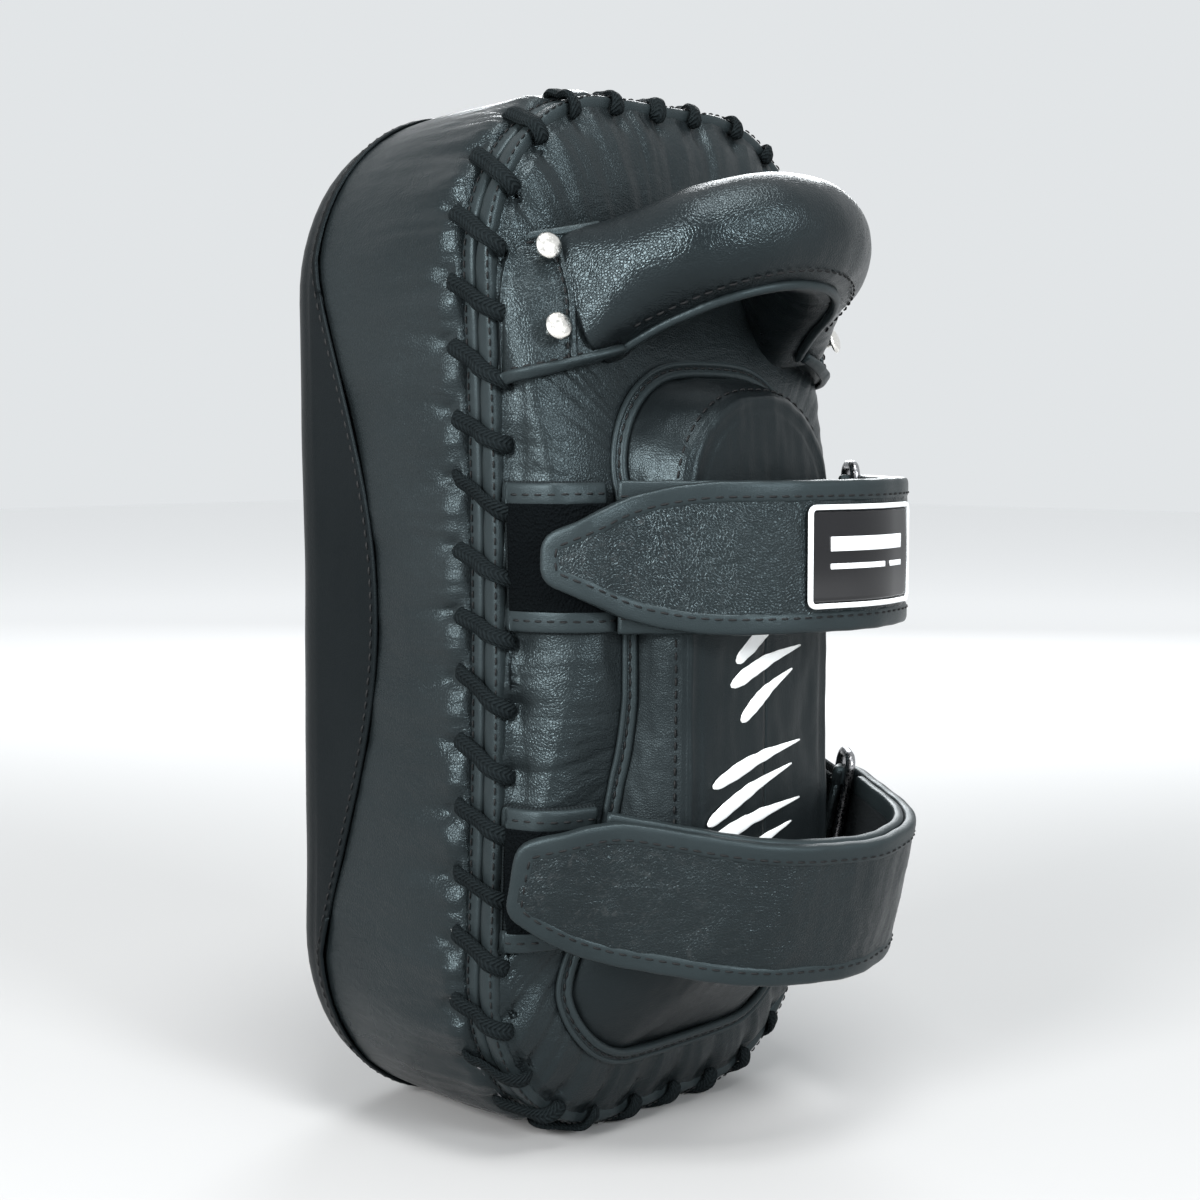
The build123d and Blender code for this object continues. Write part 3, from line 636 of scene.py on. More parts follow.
def build_back():
    """Back panel: puckered at the lacing, pillowed over the foam crown."""
    rows = []
    for inset, y in ((7.5, -55.2), (8.9, -56.2), (10.6, -56.7)):
        rows.append(at_depth(outline(**RIM, inset=inset), y))
    edge = rows[-1]
    spine = np.column_stack([np.zeros((AROUND, 2)), np.clip(edge[:, 2], 170, 225)])
    for share in np.linspace(0.07, 0.998, 50):
        row = edge * (1 - share ** 1.9) + spine * share ** 1.9
        row[:, 1] = np.minimum(panel_y(row), WELT_BACK_Y - 0.5)
        rows.append(row)
    rows = np.array(rows)
    steps = np.linalg.norm(np.diff(rows, axis=0), axis=2)
    distance = np.maximum(np.concatenate([np.zeros((1, AROUND)), np.cumsum(steps, axis=0)]) - 3.0, 0)
    folds = wobble(around_ring(distance, 0.12), 6.5, 3, Vector((4, 4, 1)))
    soft = wobble(rows, 24.0, 2, Vector((1, 8, 3)))
    ends = np.clip((np.abs(rows[..., 2] - MIDDLE) - 95) / 70, 0, 1)
    fade = np.exp(-distance / 30)
    pleats = -1.3 * ends * np.exp(-(from_hole(BACK_HOLE) / 4.6) ** 2) * fade * np.clip(distance / 6, 0, 1)
    amount = lace_pull(distance, BACK_HOLE, 1.2, 11) + pleats + folds * fade * 0.9 + soft * 0.6
    amount = np.maximum(amount * np.clip(1 - (distance - 84) / 12, 0, 1), -2.5)
    amount[0] = 0
    rows = rows + surface_normals(rows, np.array([0, -30, MIDDLE])) * amount[..., None]
    piece = grid("back_skin", on_floor(rows), M_COVER, wrap_columns=True)
    solidify(piece, SKIN)
    place(piece, PAD, "cover_leather", "back_panel")


def build_welts():
    """Two folded leather welts, pinched by the lace, each with its row of stitches."""
    line = outline(**RIM, inset=7.0)
    side = at_depth(OUTWARDS, 0)
    lift = np.broadcast_to(np.array([0.0, -1.0, 0.0]), side.shape)
    for name, cad, y, half, hole, (still, pinched, behind), away in (
        ("front_welt", "gusset_welt", -45.4, 3.3, -2.0, (1.725, 1.625, -0.25), side - lift * 0.25),
        ("rear_welt", "back_welt", -52.6, 3.6, 2.2, (0.0, 2.9, 0.86), side + lift),
    ):
        pinch = 1 - 0.24 * np.exp(-(from_hole(hole) / 4.6) ** 2)
        path = on_floor(at_depth(line, y), 3.2)
        piece = sweep(name, path, side, lift, 3.2 * (0.5 + 0.5 * pinch), half * pinch, M_BINDING, closed=True,
                      power=3.0, ribs=2, rib=-0.05, points=36)
        place(piece, PAD, "binding", cad)
        thread = path + side * (still + pinched * pinch)[:, None] + lift * (half * pinch * behind)[:, None]
        stitches(f"{name}_stitches", on_floor(thread, 0.5), unit(away), pitch=3.9, length=2.6, radius=0.34,
                 closed=True)


def build_lace():
    """Whip stitches of one flat lace over both welts, with frayed fibres at some holes."""
    shape = ((-5.4, 0.2, -38.4), (-5.0, 2.4, -39.0), (-4.2, 3.3, -41.0), (-2.8, 2.9, -44.4),
             (-0.9, 2.2, -48.4), (1.2, 2.1, -52.0), (3.0, 1.0, -55.6), (4.3, -1.4, -57.8),
             (5.2, -4.2, -58.2), (5.6, -6.2, -56.6))
    line = outline(**RIM, inset=4.6)
    tangent = directions(line, closed=True)
    rng = np.random.default_rng(11)
    strands, fibres = [], []
    for k in range(STITCHES):
        index = int(round(k * PITCH / RIM_LENGTH * AROUND)) % AROUND
        along = np.array([tangent[index, 0], 0, tangent[index, 1]])
        away = np.array([tangent[index, 1], 0, -tangent[index, 0]])
        origin = np.array([line[index, 0], 0, line[index, 1]])
        stretch = 1 + 0.22 * float(np.clip(rng.standard_normal(), -2, 1.6))
        twist = 0.22 * rng.standard_normal()
        points = [origin + along * a * stretch + away * (o + 0.25 * rng.standard_normal() * (2 < n < 8))
                  + np.array([0, y, 0]) for n, (a, o, y) in enumerate(shape)]
        path = resample(smooth_line(np.array(points)), 40)
        path = on_floor(path, 1.2)
        run = directions(path)
        share = np.clip((-path[:, 1] - 50) / 9, 0, 1)[:, None]
        lift = unit(away * (1 - share) + np.array([0, -1.0, 0]) * share + along * twist)
        side = unit(np.cross(run, lift))
        lift = unit(np.cross(side, run))
        ends = np.clip(np.minimum(np.arange(40), np.arange(40)[::-1]) / 5 + 0.55, 0, 1)
        strands.append(sweep(f"stitch_{k}", path, side, lift, LACE_HALF_WIDTH * ends,
                             LACE_HALF_THICKNESS * ends, M_LACE, power=2.3, ribs=7, rib=0.05, points=28))
        if rng.random() < 0.5:
            fibres.append((path[3], away, along))
    lace = join_pieces(strands, "edge_lace")
    place(lace, PAD, "lace", "edge_lacing")
    tufts = []
    for k, (spot, away, along) in enumerate(fibres):
        for strand in range(3):
            lean = along * rng.uniform(-1, 1) + away * rng.uniform(0.5, 1.2)
            lean = lean + np.array([0, rng.uniform(-0.3, 1.3), 0])
            end = spot + unit(lean) * rng.uniform(0.8, 1.9) + away * 0.4
            bend = (spot + end) / 2 + away * rng.uniform(0.1, 0.5)
            path = resample(smooth_line(np.array([spot + away * 0.5, bend, end])), 6)
            run = directions(path)
            side = unit(np.cross(run, away + along * 0.3))
            tufts.append(sweep(f"fibre_{k}_{strand}", path, side, unit(np.cross(side, run)), 0.06, 0.06,
                               M_FRAY, points=5))
    place(join_pieces(tufts, "lace_frays"), PAD, "lace")


def smooth_line(points, count=60):
    """Catmull-Rom curve through a few points."""
    ends = np.vstack([2 * points[0] - points[1], points, 2 * points[-1] - points[-2]])
    dense = []
    for i in range(1, len(ends) - 2):
        p0, p1, p2, p3 = ends[i - 1:i + 3]
        for t in np.linspace(0, 1, max(4, count // len(points)), endpoint=False):
            dense.append(0.5 * (2 * p1 + (p2 - p0) * t + (2 * p0 - 5 * p1 + 4 * p2 - p3) * t ** 2
                                + (3 * p1 - p0 - 3 * p2 + p3) * t ** 3))
    dense.append(points[-1])
    return np.array(dense)


def join_pieces(pieces, name):
    """One object from several."""
    bpy.ops.object.select_all(action="DESELECT")
    for piece in pieces:
        piece.select_set(True)
    bpy.context.view_layer.objects.active = pieces[0]
    bpy.ops.object.join()
    pieces[0].name = name
    pieces[0].data.name = name
    return pieces[0]


# ---------------------------------------------------------------- patches on the pillow's shoulder

def patch(name, side, low_z, high_z, end_x, lift, material, start=0.0, rows=46, columns=40, ripple=0.25):
    """Sheet lying on the pillow's shoulder, from the lacing to an X, with its edges turned down."""
    shares_a, shares_b = [np.concatenate([[0, 0], np.linspace(0.012, 0.988, count), [1, 1]])
                          for count in (rows, columns)]
    heights_a, heights_b = [np.concatenate([[0, 0.72], np.ones(count), [0.72, 0]])
                            for count in (rows, columns)]
    result = np.zeros((len(shares_a), len(shares_b), 3))
    for i, a in enumerate(shares_a):
        for j, b in enumerate(shares_b):
            z = low_z(a) + (high_z(a) - low_z(a)) * b
            profile = shoulder(side, z)
            lengths = travelled(profile)
            limit = np.interp(-abs(end_x), -np.abs(profile[:, 0]), lengths)
            d = start + (limit - start) * a
            point, near, back = look_up([d, d + 3.0, max(d - 3.0, 0)], lengths, profile)
            run = unit(near - back)
            normal = np.array([run[1], -run[0]]) * (1 if side < 0 else -1)
            if normal[1] > 0:
                normal = -normal
            height = lift(a, b) * min(heights_a[i], heights_b[j])
            result[i, j] = [point[0] + normal[0] * height, point[1] + normal[1] * height, z]
    result[2:-2, 2:-2, 1] += wobble(result[2:-2, 2:-2], 9.0, 3, Vector((2, 5, 8))) * ripple
    return grid(name, result, material), result


def row_on(result, b_index, inner=2):
    """Line along a patch at one column, and the outward normals there."""
    columns = result[inner:-inner]
    line = columns[:, b_index]
    beside = unit(columns[:, min(b_index + 1, result.shape[1] - 3)] - columns[:, b_index - 1])
    normal = unit(np.cross(directions(line), beside))
    return line, normal * np.where(normal[:, 1:2] > 0, -1, 1)


# ---------------------------------------------------------------- grip handle

GRIP_TILT = math.radians(25)
GRIP_ROOT_Y, GRIP_ROOT_Z = -66, 315.5
GRIP_HALF_DEPTH, GRIP_HALF_HEIGHT = 20.6, 20.8
GRIP_DOWN = np.array([0, -math.sin(GRIP_TILT), -math.cos(GRIP_TILT)])


def grip_path(count=150):
    """Centre line of the grip in space."""
    flat = fillet_path([(-55, 0), (-27, 56.3), (27, 56.3), (55, 0)], [42, 42])
    flat = resample(flat, count)
    return np.column_stack([flat[:, 0], GRIP_ROOT_Y - flat[:, 1] * math.cos(GRIP_TILT),
                            GRIP_ROOT_Z + flat[:, 1] * math.sin(GRIP_TILT)])


def build_grip():
    """Padded grip bar with creased ends, its piping and its two riveted tabs."""
    path = grip_path()
    run = directions(path)
    down = np.broadcast_to(GRIP_DOWN, path.shape)
    outer = unit(np.cross(run, down))
    outer = outer * np.where(outer[:, 1:2] > 0, -1, 1)
    share = np.linspace(-1, 1, len(path))
    flare = np.clip((np.abs(share) - 0.62) / 0.38, 0, 1) ** 2
    angles = np.linspace(0, 2 * math.pi, 72, endpoint=False)
    rows = np.zeros((len(path), 72, 3))
    for i, centre in enumerate(path):
        across, tall = GRIP_HALF_DEPTH - 2.6 * flare[i], GRIP_HALF_HEIGHT + 3.0 * flare[i]
        power = 2 + 2.6 * flare[i]
        shape_c, shape_s = squared(angles, power)
        section = outer[i] * (across * shape_c)[:, None] + down[i] * (tall * shape_s)[:, None]
        rows[i] = centre + down[i] * 1.5 * flare[i] + section
    length_at = np.linspace(0, 170, len(path))[:, None] / 6.0
    compress = 0.35 + 0.65 * np.clip(-np.cos(angles), 0, 1)[None]
    at = np.stack(np.broadcast_arrays(length_at, np.cos(angles) * 0.9, np.sin(angles) * 0.9), -1)
    creased = wobble(at, 1.0, 3) * compress * (0.35 + 0.9 * flare[:, None])
    soft = wobble(rows, 22.0, 2) * 0.5
    normal = unit(rows - path[:, None])
    rows = rows + normal * (creased + soft)[..., None]
    piece = grid("grip_skin", rows, M_GRIP, wrap_columns=True, caps=True)
    place(piece, PAD, "cover_leather", "handle_cover")
    seam = path + GRIP_DOWN * (21.6 + 4.0 * flare)[:, None]
    keep = slice(5, len(path) - 5)
    piping = sweep("grip_piping", seam[keep], outer[keep], down[keep], 1.9, 1.9, M_BINDING, points=14,
                   taper_ends=True)
    place(piping, PAD, "binding", "handle_piping")
    thread = path + unit(GRIP_DOWN * 0.93 + outer * 0.36) * (21.4 + 3.0 * flare)[:, None]
    stitches("grip_stitches", thread[keep], unit(thread - path)[keep])
    build_handle_tab(-1, "left_handle_tab")
    build_handle_tab(1, "right_handle_tab")


def tab_rise(a, b):
    """Height of a handle tab above the pillow; it climbs the foam towards the grip."""
    ramp = a * a * (3 - 2 * a)
    return 2.6 + 9.6 * ramp * (0.75 + 0.25 * math.sin(math.pi * b))


def build_handle_tab(side, cad):
    """One riveted tab of the grip, with its stitches, hems and fold ridge."""
    tab, shape = patch(f"{cad}_skin", side, lambda a: 284 + 12 * a, lambda a: 335.5 + 6 * a,
                       52, tab_rise, M_COVER, rows=44, columns=40, ripple=0.5)
    place(tab, PAD, "cover_leather", cad)
    for column, label in ((4, "low"), (shape.shape[1] - 5, "high")):
        line, lift = row_on(shape, column)
        stitches(f"{cad}_{label}_stitches", line[:30], lift[:30])
    for column, label, half in ((2, "lower", 2.3), (shape.shape[1] - 3, "upper", 1.5)):
        line, lift = row_on(shape, column)
        tape(f"{cad}_{label}_hem", line, lift, half, half * 0.62, M_BINDING, power=3, points=14)
    inner = shape[2:-2, 2:-2]
    fold = []
    for j in range(inner.shape[1]):
        reach = 72.0 - 2.0 * j / inner.shape[1]
        fold.append(inner[int(np.argmin(np.abs(np.abs(inner[:, j, 0]) - reach))), j])
    fold = resample(smooth_line(np.array(fold)[::5], 60), 60)
    lift = np.broadcast_to(unit(np.array([side * 0.45, -0.9, 0.2])), fold.shape)
    tape(f"{cad}_fold", fold, lift, 1.5, 1.1, M_COVER, slot="cover_leather", power=2.6, points=14)
    seam_at = fold + np.array([side * 2.6, 0.2, 0])
    stitches(f"{cad}_fold_stitches", seam_at, lift, pitch=3.8, length=2.5)


def build_rivets():
    """Domed nickel caps on the tabs."""
    lean, rise = math.radians(20), math.radians(16)
    profile = ((0.0, 2.5), (1.2, 2.45), (2.4, 2.25), (3.5, 1.9), (4.3, 1.45), (4.85, 0.9), (5.0, 0.45),
               (4.8, 0.1), (4.2, 0.0))
    for side, hand in ((-1, "left"), (1, "right")):
        for x, y, z, level in ((76.3, -68.8, 331.8, "upper"), (79.7, -76.9, 303.5, "lower")):
            axis = np.array([side * math.sin(lean) * math.cos(rise), -math.cos(lean) * math.cos(rise),
                             math.sin(rise)])
            first = unit(np.cross(axis, [0, 0, 1.0]))
            second = np.cross(axis, first)
            centre = np.array([side * x, y, z]) + axis * 1.1
            angles = np.linspace(0, 2 * math.pi, 48, endpoint=False)
            rows = [[centre + axis * h + (first * math.cos(t) + second * math.sin(t)) * max(r, 0.02)
                     for t in angles] for r, h in profile]
            cap = grid(f"rivet_{hand}_{level}", rows, M_RIVET, wrap_columns=True, caps=True)
            nodes = ("rivet_caps",) if (side, level) == (-1, "upper") else ()
            place(cap, PAD, "rivet_metal", *nodes)


# ---------------------------------------------------------------- forearm cushion

CUSHION_ROOT = dict(width=59.0, foot=68.0, low=27.0, high=292.0)
CUSHION_TOP = dict(width=41.5, foot=42.5, low=75.0, high=281.0)
CUSHION_COUNT = 520


def cushion_line(width, foot, low, high, inset=0.0):
    """Outline of the cushion at its root or its top."""
    w, f, l, h = width - inset, foot - inset, low + inset, high - inset
    corners = [(0, h), (-w, h), (-w, l + 110), (-f, l), (f, l), (w, l + 110), (w, h), (0, h)]
    dense = fillet_path(corners, [38, 100, 34, 34, 100, 38])
    return resample(dense[:-1], CUSHION_COUNT, closed=True)


def build_cushion():
    """Forearm cushion: sloping wall, rolled top seam, crowned top, and its piped foot."""
    root, top = cushion_line(**CUSHION_ROOT), cushion_line(**CUSHION_TOP)
    root_y, top_y = -59.0, -105.5

    def wall(t):
        t = np.broadcast_to(np.asarray(t, float), (CUSHION_COUNT,))
        flat = root * (1 - t[:, None]) + top * t[:, None]
        return at_depth(flat, root_y + (top_y - root_y) * t)

    low, high = np.zeros(CUSHION_COUNT), np.ones(CUSHION_COUNT)
    for _ in range(18):
        middle = (low + high) / 2
        at = wall(middle)
        buried = at[:, 1] > panel_y(at)
        low, high = np.where(buried, middle, low), np.where(buried, high, middle)
    foot = low
    rows = [wall(foot - 0.05)]
    for t in np.linspace(0.0, 1, 26):
        rows.append(wall(foot + (0.955 - foot) * t))
    for angle in np.linspace(15, 90, 8):
        a = math.radians(angle)
        line = cushion_line(**CUSHION_TOP, inset=2.6 * (1 - math.cos(a)))
        rows.append(at_depth(line, top_y + 2.2 * (1 - math.sin(a))))
    edge = rows[-1]
    spine = at_depth(np.column_stack([np.zeros(CUSHION_COUNT), np.clip(edge[:, 2], 112, 244)]), top_y)
    rows.append(edge * 0.93 + spine * 0.07 + np.array([0, 0.45, 0]))
    for t in np.linspace(0.12, 0.995, 26):
        crown = 1.6 * (1 - (1 - t) ** 2.2)
        rows.append(edge * (1 - t) + spine * t - np.array([0, crown, 0]))
    rows = np.array(rows)
    puff = np.zeros(rows.shape[:2])
    puff[1:27] = 1.2 * np.sin(math.pi * np.linspace(0, 1, 26))[:, None]
    amount = puff + wobble(rows, (14, 14, 30), 3, Vector((6, 1, 2))) * 0.55
    amount += wobble(rows, (5, 5, 60), 2, Vector((1, 1, 2))) * 0.14
    rows = rows + surface_normals(rows, np.array([0, -80, 180])) * amount[..., None]
    piece = grid("cushion_skin", rows, M_CUSHION, wrap_columns=True)
    solidify(piece, 1.0)
    place(piece, PAD, "cushion_leather", "cushion_wall", "cushion_top")

    at_foot = wall(foot)
    around = directions(at_foot, closed=True)
    away = unit(np.cross(around, [0, -1.0, 0]))
    centre = np.array([0, 0, 160.0])
    away = away * np.sign(((at_foot - centre) * away).sum(1))[:, None]
    for name, out, radius in (("cushion_piping", 1.3, 1.7), ("cushion_flange_edge", 5.0, 1.1)):
        line = at_foot + away * out
        line[:, 1] = panel_y(line) - radius * 0.8
        line = (np.roll(line, 1, 0) + line * 2 + np.roll(line, -1, 0)) / 4
        run = directions(line, closed=True)
        side = unit(np.cross(run, [0, -1.0, 0]))
        cord = sweep(name, line, side, unit(np.cross(side, run)), radius, radius, M_BINDING, closed=True,
                     points=14)
        nodes = ("cushion_apron",) if name == "cushion_piping" else ()
        place(cord, PAD, "binding" if not nodes else "cover_leather", *nodes)
    flange = np.array([at_foot + away * out for out in (0.4, 2.4, 4.0, 5.2)])
    flange[..., 1] = panel_y(flange) - np.array([1.0, 1.6, 1.6, 0.3])[:, None]
    band = grid("cushion_flange", flange, M_COVER, wrap_columns=True)
    place(band, PAD, "cover_leather")
    thread = at_foot + away * 3.3
    thread[:, 1] = panel_y(thread) - 1.7
    lift = np.broadcast_to(np.array([0, -1.0, 0]), thread.shape)
    stitches("cushion_foot_stitches", thread, lift, closed=True)
    slope = unit(away * 0.9 + np.array([0, -0.42, 0]))
    stitches("cushion_top_stitches", wall(0.90) + slope * 0.8, slope, closed=True)


def build_marks():
    """Two groups of plain slanted brush strokes printed on the cushion."""
    strokes = []
    for top, count, spread, shift in ((203, 4, 19.0, 1.0), (145, 5, 27.0, -7.0)):
        for k in range(count):
            z = top - 11.0 * k
            lean = 6.0 + 2.5 * (k % 2)
            start, end = shift - spread - 3 * (k % 3) + 4, shift + spread + 5 * ((k + 1) % 2) - 4
            strokes.append(((start, 0, z - lean), (0.5 * (start + end), 0, z + 1.5), (end, 0, z + lean)))
    pieces = []
    for k, stroke in enumerate(strokes):
        path = resample(smooth_line(np.array(stroke, float)), 26)
        path[:, 1] = -107.2
        run = directions(path)
        lift = np.broadcast_to(np.array([0, -1.0, 0]), path.shape)
        side = unit(np.cross(run, lift))
        share = np.linspace(0, 1, 26)
        width = (0.6 + 2.5 * np.sin(math.pi * share ** 0.7) ** 0.8) * (1.15 - 0.6 * share)
        width = width * (1 + 0.18 * np.array([noise.noise(Vector((s * 9, k, 0))) for s in share]))
        pieces.append(sweep(f"stroke_{k}", path, side, lift, width, 0.35, M_PRINT, power=3, points=12))
    place(join_pieces(pieces, "cushion_brush_marks"), PAD, "badge_white")


# ---------------------------------------------------------------- arm straps

STRAPS = {
    "upper": dict(height=223, tilt=0, arm=((-62, -5), (-24, -44), (16, -54), (50, -46)),
                  tip=((-86.2, 4.2), (-78.3, -6.6), (-64.5, -11.5)), taper=52, tip_width=13,
                  tip_power=0.85, tab_end=61),
    "lower": dict(height=107, tilt=13, arm=((-66, -5), (-27, -51), (16, -62), (54, -53)),
                  tip=((-91, 8), (-82.5, -2.5), (-68, -12)), taper=34, tip_width=22,
                  tip_power=0.75, tab_end=63),
}
STRAP_BAR = np.array([76.0, -8.0])
KEEPER_BAR = np.array([85.0, 3.0])
KEEPER_TURN, HALF_KEEPER = 3.8, 19.8
STRAP_BENDS = (60, 46, 38)
TIP_BENDS = (22, 34)
STRAP_OFFSET = 4.6
HALF_STRAP = 27.0
HALF_PILE = 19.5


def shift_route(points, distance):
    """Corners of a route moved sideways, away from the pad for a positive distance."""
    corners = np.array(points, float)
    normals = sideways(unit(np.diff(corners, axis=0)))
    moved = [corners[0] + normals[0] * distance]
    for corner, before, after in zip(corners[1:-1], normals[:-1], normals[1:]):
        bisector = unit(before + after)
        moved.append(corner + bisector * (distance / (bisector @ before)))
    moved.append(corners[-1] + normals[-1] * distance)
    return moved


class StrapFrame:
    """Places points given in a strap's own plane."""

    def __init__(self, height, tilt):
        lean = math.radians(tilt)
        self.origin = np.array([0, RIM_Y - CROWN * (1 - ((height - MIDDLE) / MIDDLE) ** 2), height])
        self.y = np.array([0, math.cos(lean), math.sin(lean)])
        self.z = np.array([0, -math.sin(lean), math.cos(lean)])

    def turn(self, flat):
        """Direction in space of a direction in the plane."""
        return flat[..., :1] * np.array([1.0, 0, 0]) + flat[..., 1:2] * self.y

    def place(self, flat, z=0.0):
        """Point in space of a point in the plane at a height across the strap."""
        return self.origin + self.turn(np.asarray(flat, float)) + np.asarray(z)[..., None] * self.z


def strap_skin(name, frame_at, flat, halves, thickness, material, dome=0.5, ripple=0.3, seed=1.0, soft=0.4):
    """Closed strap body along a plan route, a little domed on its outer side."""
    normal = sideways(directions(flat))
    shares = np.linspace(-1, 1, 30)
    rows = []
    for point, away, half in zip(flat, normal, halves):
        outer = [point + away * (thickness / 2 + dome * (1 - s * s) - 0.5 * (abs(s) > 0.98)) for s in shares]
        inner = [point - away * (thickness / 2 - 0.5 * (abs(s) > 0.98)) for s in shares[::-1]]
        heights = np.concatenate([shares, shares[::-1]]) * half
        rows.append(frame_at.place(np.array(outer + inner), heights))
    rows = np.array(rows)
    lift = np.repeat(frame_at.turn(normal)[:, None], rows.shape[1], axis=1)
    marks = wobble(rows, (7, 7, 16), 3, Vector((seed, 3, 3))) * ripple
    marks = marks + wobble(rows, 30, 1, Vector((seed, 1, 1))) * soft
    outer_side = np.concatenate([np.ones(30), np.zeros(30)])[None, :, None]
    rows = rows + lift * marks[..., None] * outer_side
    return grid(name, rows, material, wrap_columns=True, caps=True)


def strap_binding(name, frame_at, flat, halves, around_tip, body, slot, half_lift=2.5):
    """Binding tape folded over a strap's edges, with its row of stitches."""
    reach = halves - 3.7
    top = frame_at.place(flat, reach)
    bottom = frame_at.place(flat, -reach)
    away = frame_at.turn(sideways(directions(flat)))
    if around_tip:
        steps = np.linspace(1, -1, 9)[1:-1]
        nose = np.array([frame_at.place(flat[0], np.array(reach[0] * s)) for s in steps])
        lifts = np.vstack([away[::-1], np.repeat(away[:1], len(nose), 0), away])
        lines = [(np.vstack([top[::-1], nose, bottom]), lifts)]
    else:
        lines = [(top, away), (bottom, away)]
    for k, (line, lift) in enumerate(lines):
        lengths = travelled(line)
        places = np.linspace(0, lengths[-1], int(lengths[-1] / 1.6))
        line = look_up(places, lengths, line)
        lift = unit(look_up(places, lengths, lift))
        for _ in range(3):
            line[1:-1] = (line[:-2] + 2 * line[1:-1] + line[2:]) / 4
        side = unit(np.cross(directions(line), lift))
        wave = 1 + 0.02 * np.sin(places / 2.3)
        tape = sweep(f"{name}_{k}", line, side, lift, 3.9 * wave, half_lift * wave, M_BINDING, power=3.6,
                     points=28)
        place(tape, body, slot)
        inwards = side * np.sign(((frame_at.origin - line) * side).sum(1))[:, None]
        thread = line + inwards * 1.7 + lift * (half_lift * 0.93)
        stitches(f"{name}_stitches_{k}", thread, lift, body, slot, pitch=4.8, length=3.3)


def tongue_flat(spec):
    """Plan line of a tongue from its free end to the ring's outer bar, then round the bar."""
    outer = shift_route([*spec["arm"], STRAP_BAR], STRAP_OFFSET)
    radii = [*TIP_BENDS, *[bend + STRAP_OFFSET for bend in STRAP_BENDS]]
    line = fillet_path([*spec["tip"], *outer[1:]], radii)
    away = unit(outer[-1] - STRAP_BAR)
    start = math.atan2(away[1], away[0])
    bend = [STRAP_BAR + STRAP_OFFSET * np.array([math.cos(start + a), math.sin(start + a)])
            for a in np.linspace(0, math.pi, 16)[1:]]
    return np.vstack([line, bend])


def build_keeper(name, at):
    """Webbing keeper folded round the ring's inner bar, with a row of stitches across it."""
    lean = math.asin(at.y[2])
    rim_point = np.array([92.0, (WELT_BACK_Y - 2 - at.origin[1]) / math.cos(lean)])
    reach = unit(KEEPER_BAR - rim_point)
    outwards = np.array([-reach[1], reach[0]])
    run = float(np.linalg.norm(KEEPER_BAR - rim_point))
    start = math.atan2(outwards[1], outwards[0])
    bend = [KEEPER_BAR + KEEPER_TURN * np.array([math.cos(start - a), math.sin(start - a)])
            for a in np.linspace(0, math.pi, 14)]
    flat = np.vstack([bend[0] - reach * run, bend, bend[-1] - reach * run * 0.6])
    flat = resample(flat, 60)
    skin = strap_skin(f"{name}_keeper_skin", at, flat, np.full(60, HALF_KEEPER), 2.3, M_WEBBING, dome=0.1,
                      ripple=0.12)
    place(skin, PAD, "webbing", f"{name}_keeper")
    normal = at.turn(sideways(directions(flat)))
    for k, index in enumerate((16, 20)):
        line = at.place(np.repeat(flat[index:index + 1], 40, 0), np.linspace(-18, 18, 40))
        for sign in (1, -1):
            lift = np.repeat(normal[index:index + 1] * sign, 40, 0)
            label = f"{name}_keeper_stitches_{k}_{(sign + 1) // 2}"
            stitches(label, line + lift * 1.25, lift, slot="webbing")


def build_strap(name, spec):
    """Every visible piece of one arm strap."""
    at = StrapFrame(spec["height"], spec["tilt"])
    tongue_body = f"{name}_tongue"
    z = spec["height"]
    tab, shape = patch(f"{name}_tab_skin", -1, lambda a: z - HALF_STRAP, lambda a: z + HALF_STRAP,
                       spec["tab_end"], lambda a, b: 2.2, M_WEBBING, ripple=0.15)
    place(tab, PAD, "webbing", f"{name}_loop_tab")
    for k, column in enumerate((5, shape.shape[1] - 6)):
        line, lift = row_on(shape, column)
        side = unit(np.cross(directions(line), lift))
        tape = sweep(f"{name}_tab_binding_{k}", line + lift * 0.3, side, lift, 4.2, 1.5, M_BINDING, power=3.4)
        place(tape, PAD, "binding")
        stitches(f"{name}_tab_stitches_{k}", line + lift * 1.7, lift)
    pile, _ = patch(f"{name}_pile_skin", -1, lambda a: z - HALF_PILE, lambda a: z + HALF_PILE, 62,
                    lambda a, b: 4.0, M_PILE, start=4.0, rows=60, columns=56, ripple=0.55)
    place(pile, PAD, "loop_pile", f"{name}_loop_pile")

    build_keeper(name, at)
    last = unit(STRAP_BAR - np.array(spec["arm"][-1]))
    flat = fillet_path([*spec["arm"], STRAP_BAR - last * 9.5], STRAP_BENDS)
    flat = resample(flat, 110)
    halves = np.full(len(flat), HALF_STRAP)
    away = sideways(directions(flat))
    skin = strap_skin(f"{name}_arm_skin", at, flat + away * 0.8, halves - 1, 2.0, M_STRAP, dome=0.1, seed=2.0)
    place(skin, PAD, "strap_leather", f"{name}_arm_strap")
    lining = strap_skin(f"{name}_lining_skin", at, flat - away * 1.1, halves - 2.5, 1.6, M_LINING, dome=0.0,
                        ripple=0.9, seed=5.0)
    place(lining, PAD, "lining", f"{name}_arm_lining")
    strap_binding(f"{name}_arm_binding", at, flat, halves, False, PAD, "binding", half_lift=2.2)

    flat = resample(tongue_flat(spec), 190)
    tip_x = flat[0, 0] - 3
    share = np.clip((flat[:, 0] - tip_x) / spec["taper"], 0, 1)
    half_tip = spec["tip_width"] / 2
    halves = half_tip + (HALF_STRAP - half_tip) * np.sin(share * math.pi / 2) ** spec["tip_power"]
    skin = strap_skin(f"{name}_tongue_skin", at, flat, halves - 1.2, 3.2, M_STRAP, dome=0.55, ripple=0.42,
                      seed=8.0)
    place(skin, tongue_body, "strap_leather", f"{name}_tongue")
    strap_binding(f"{name}_tongue_binding", at, flat, halves, True, tongue_body, "binding")
    return at, flat


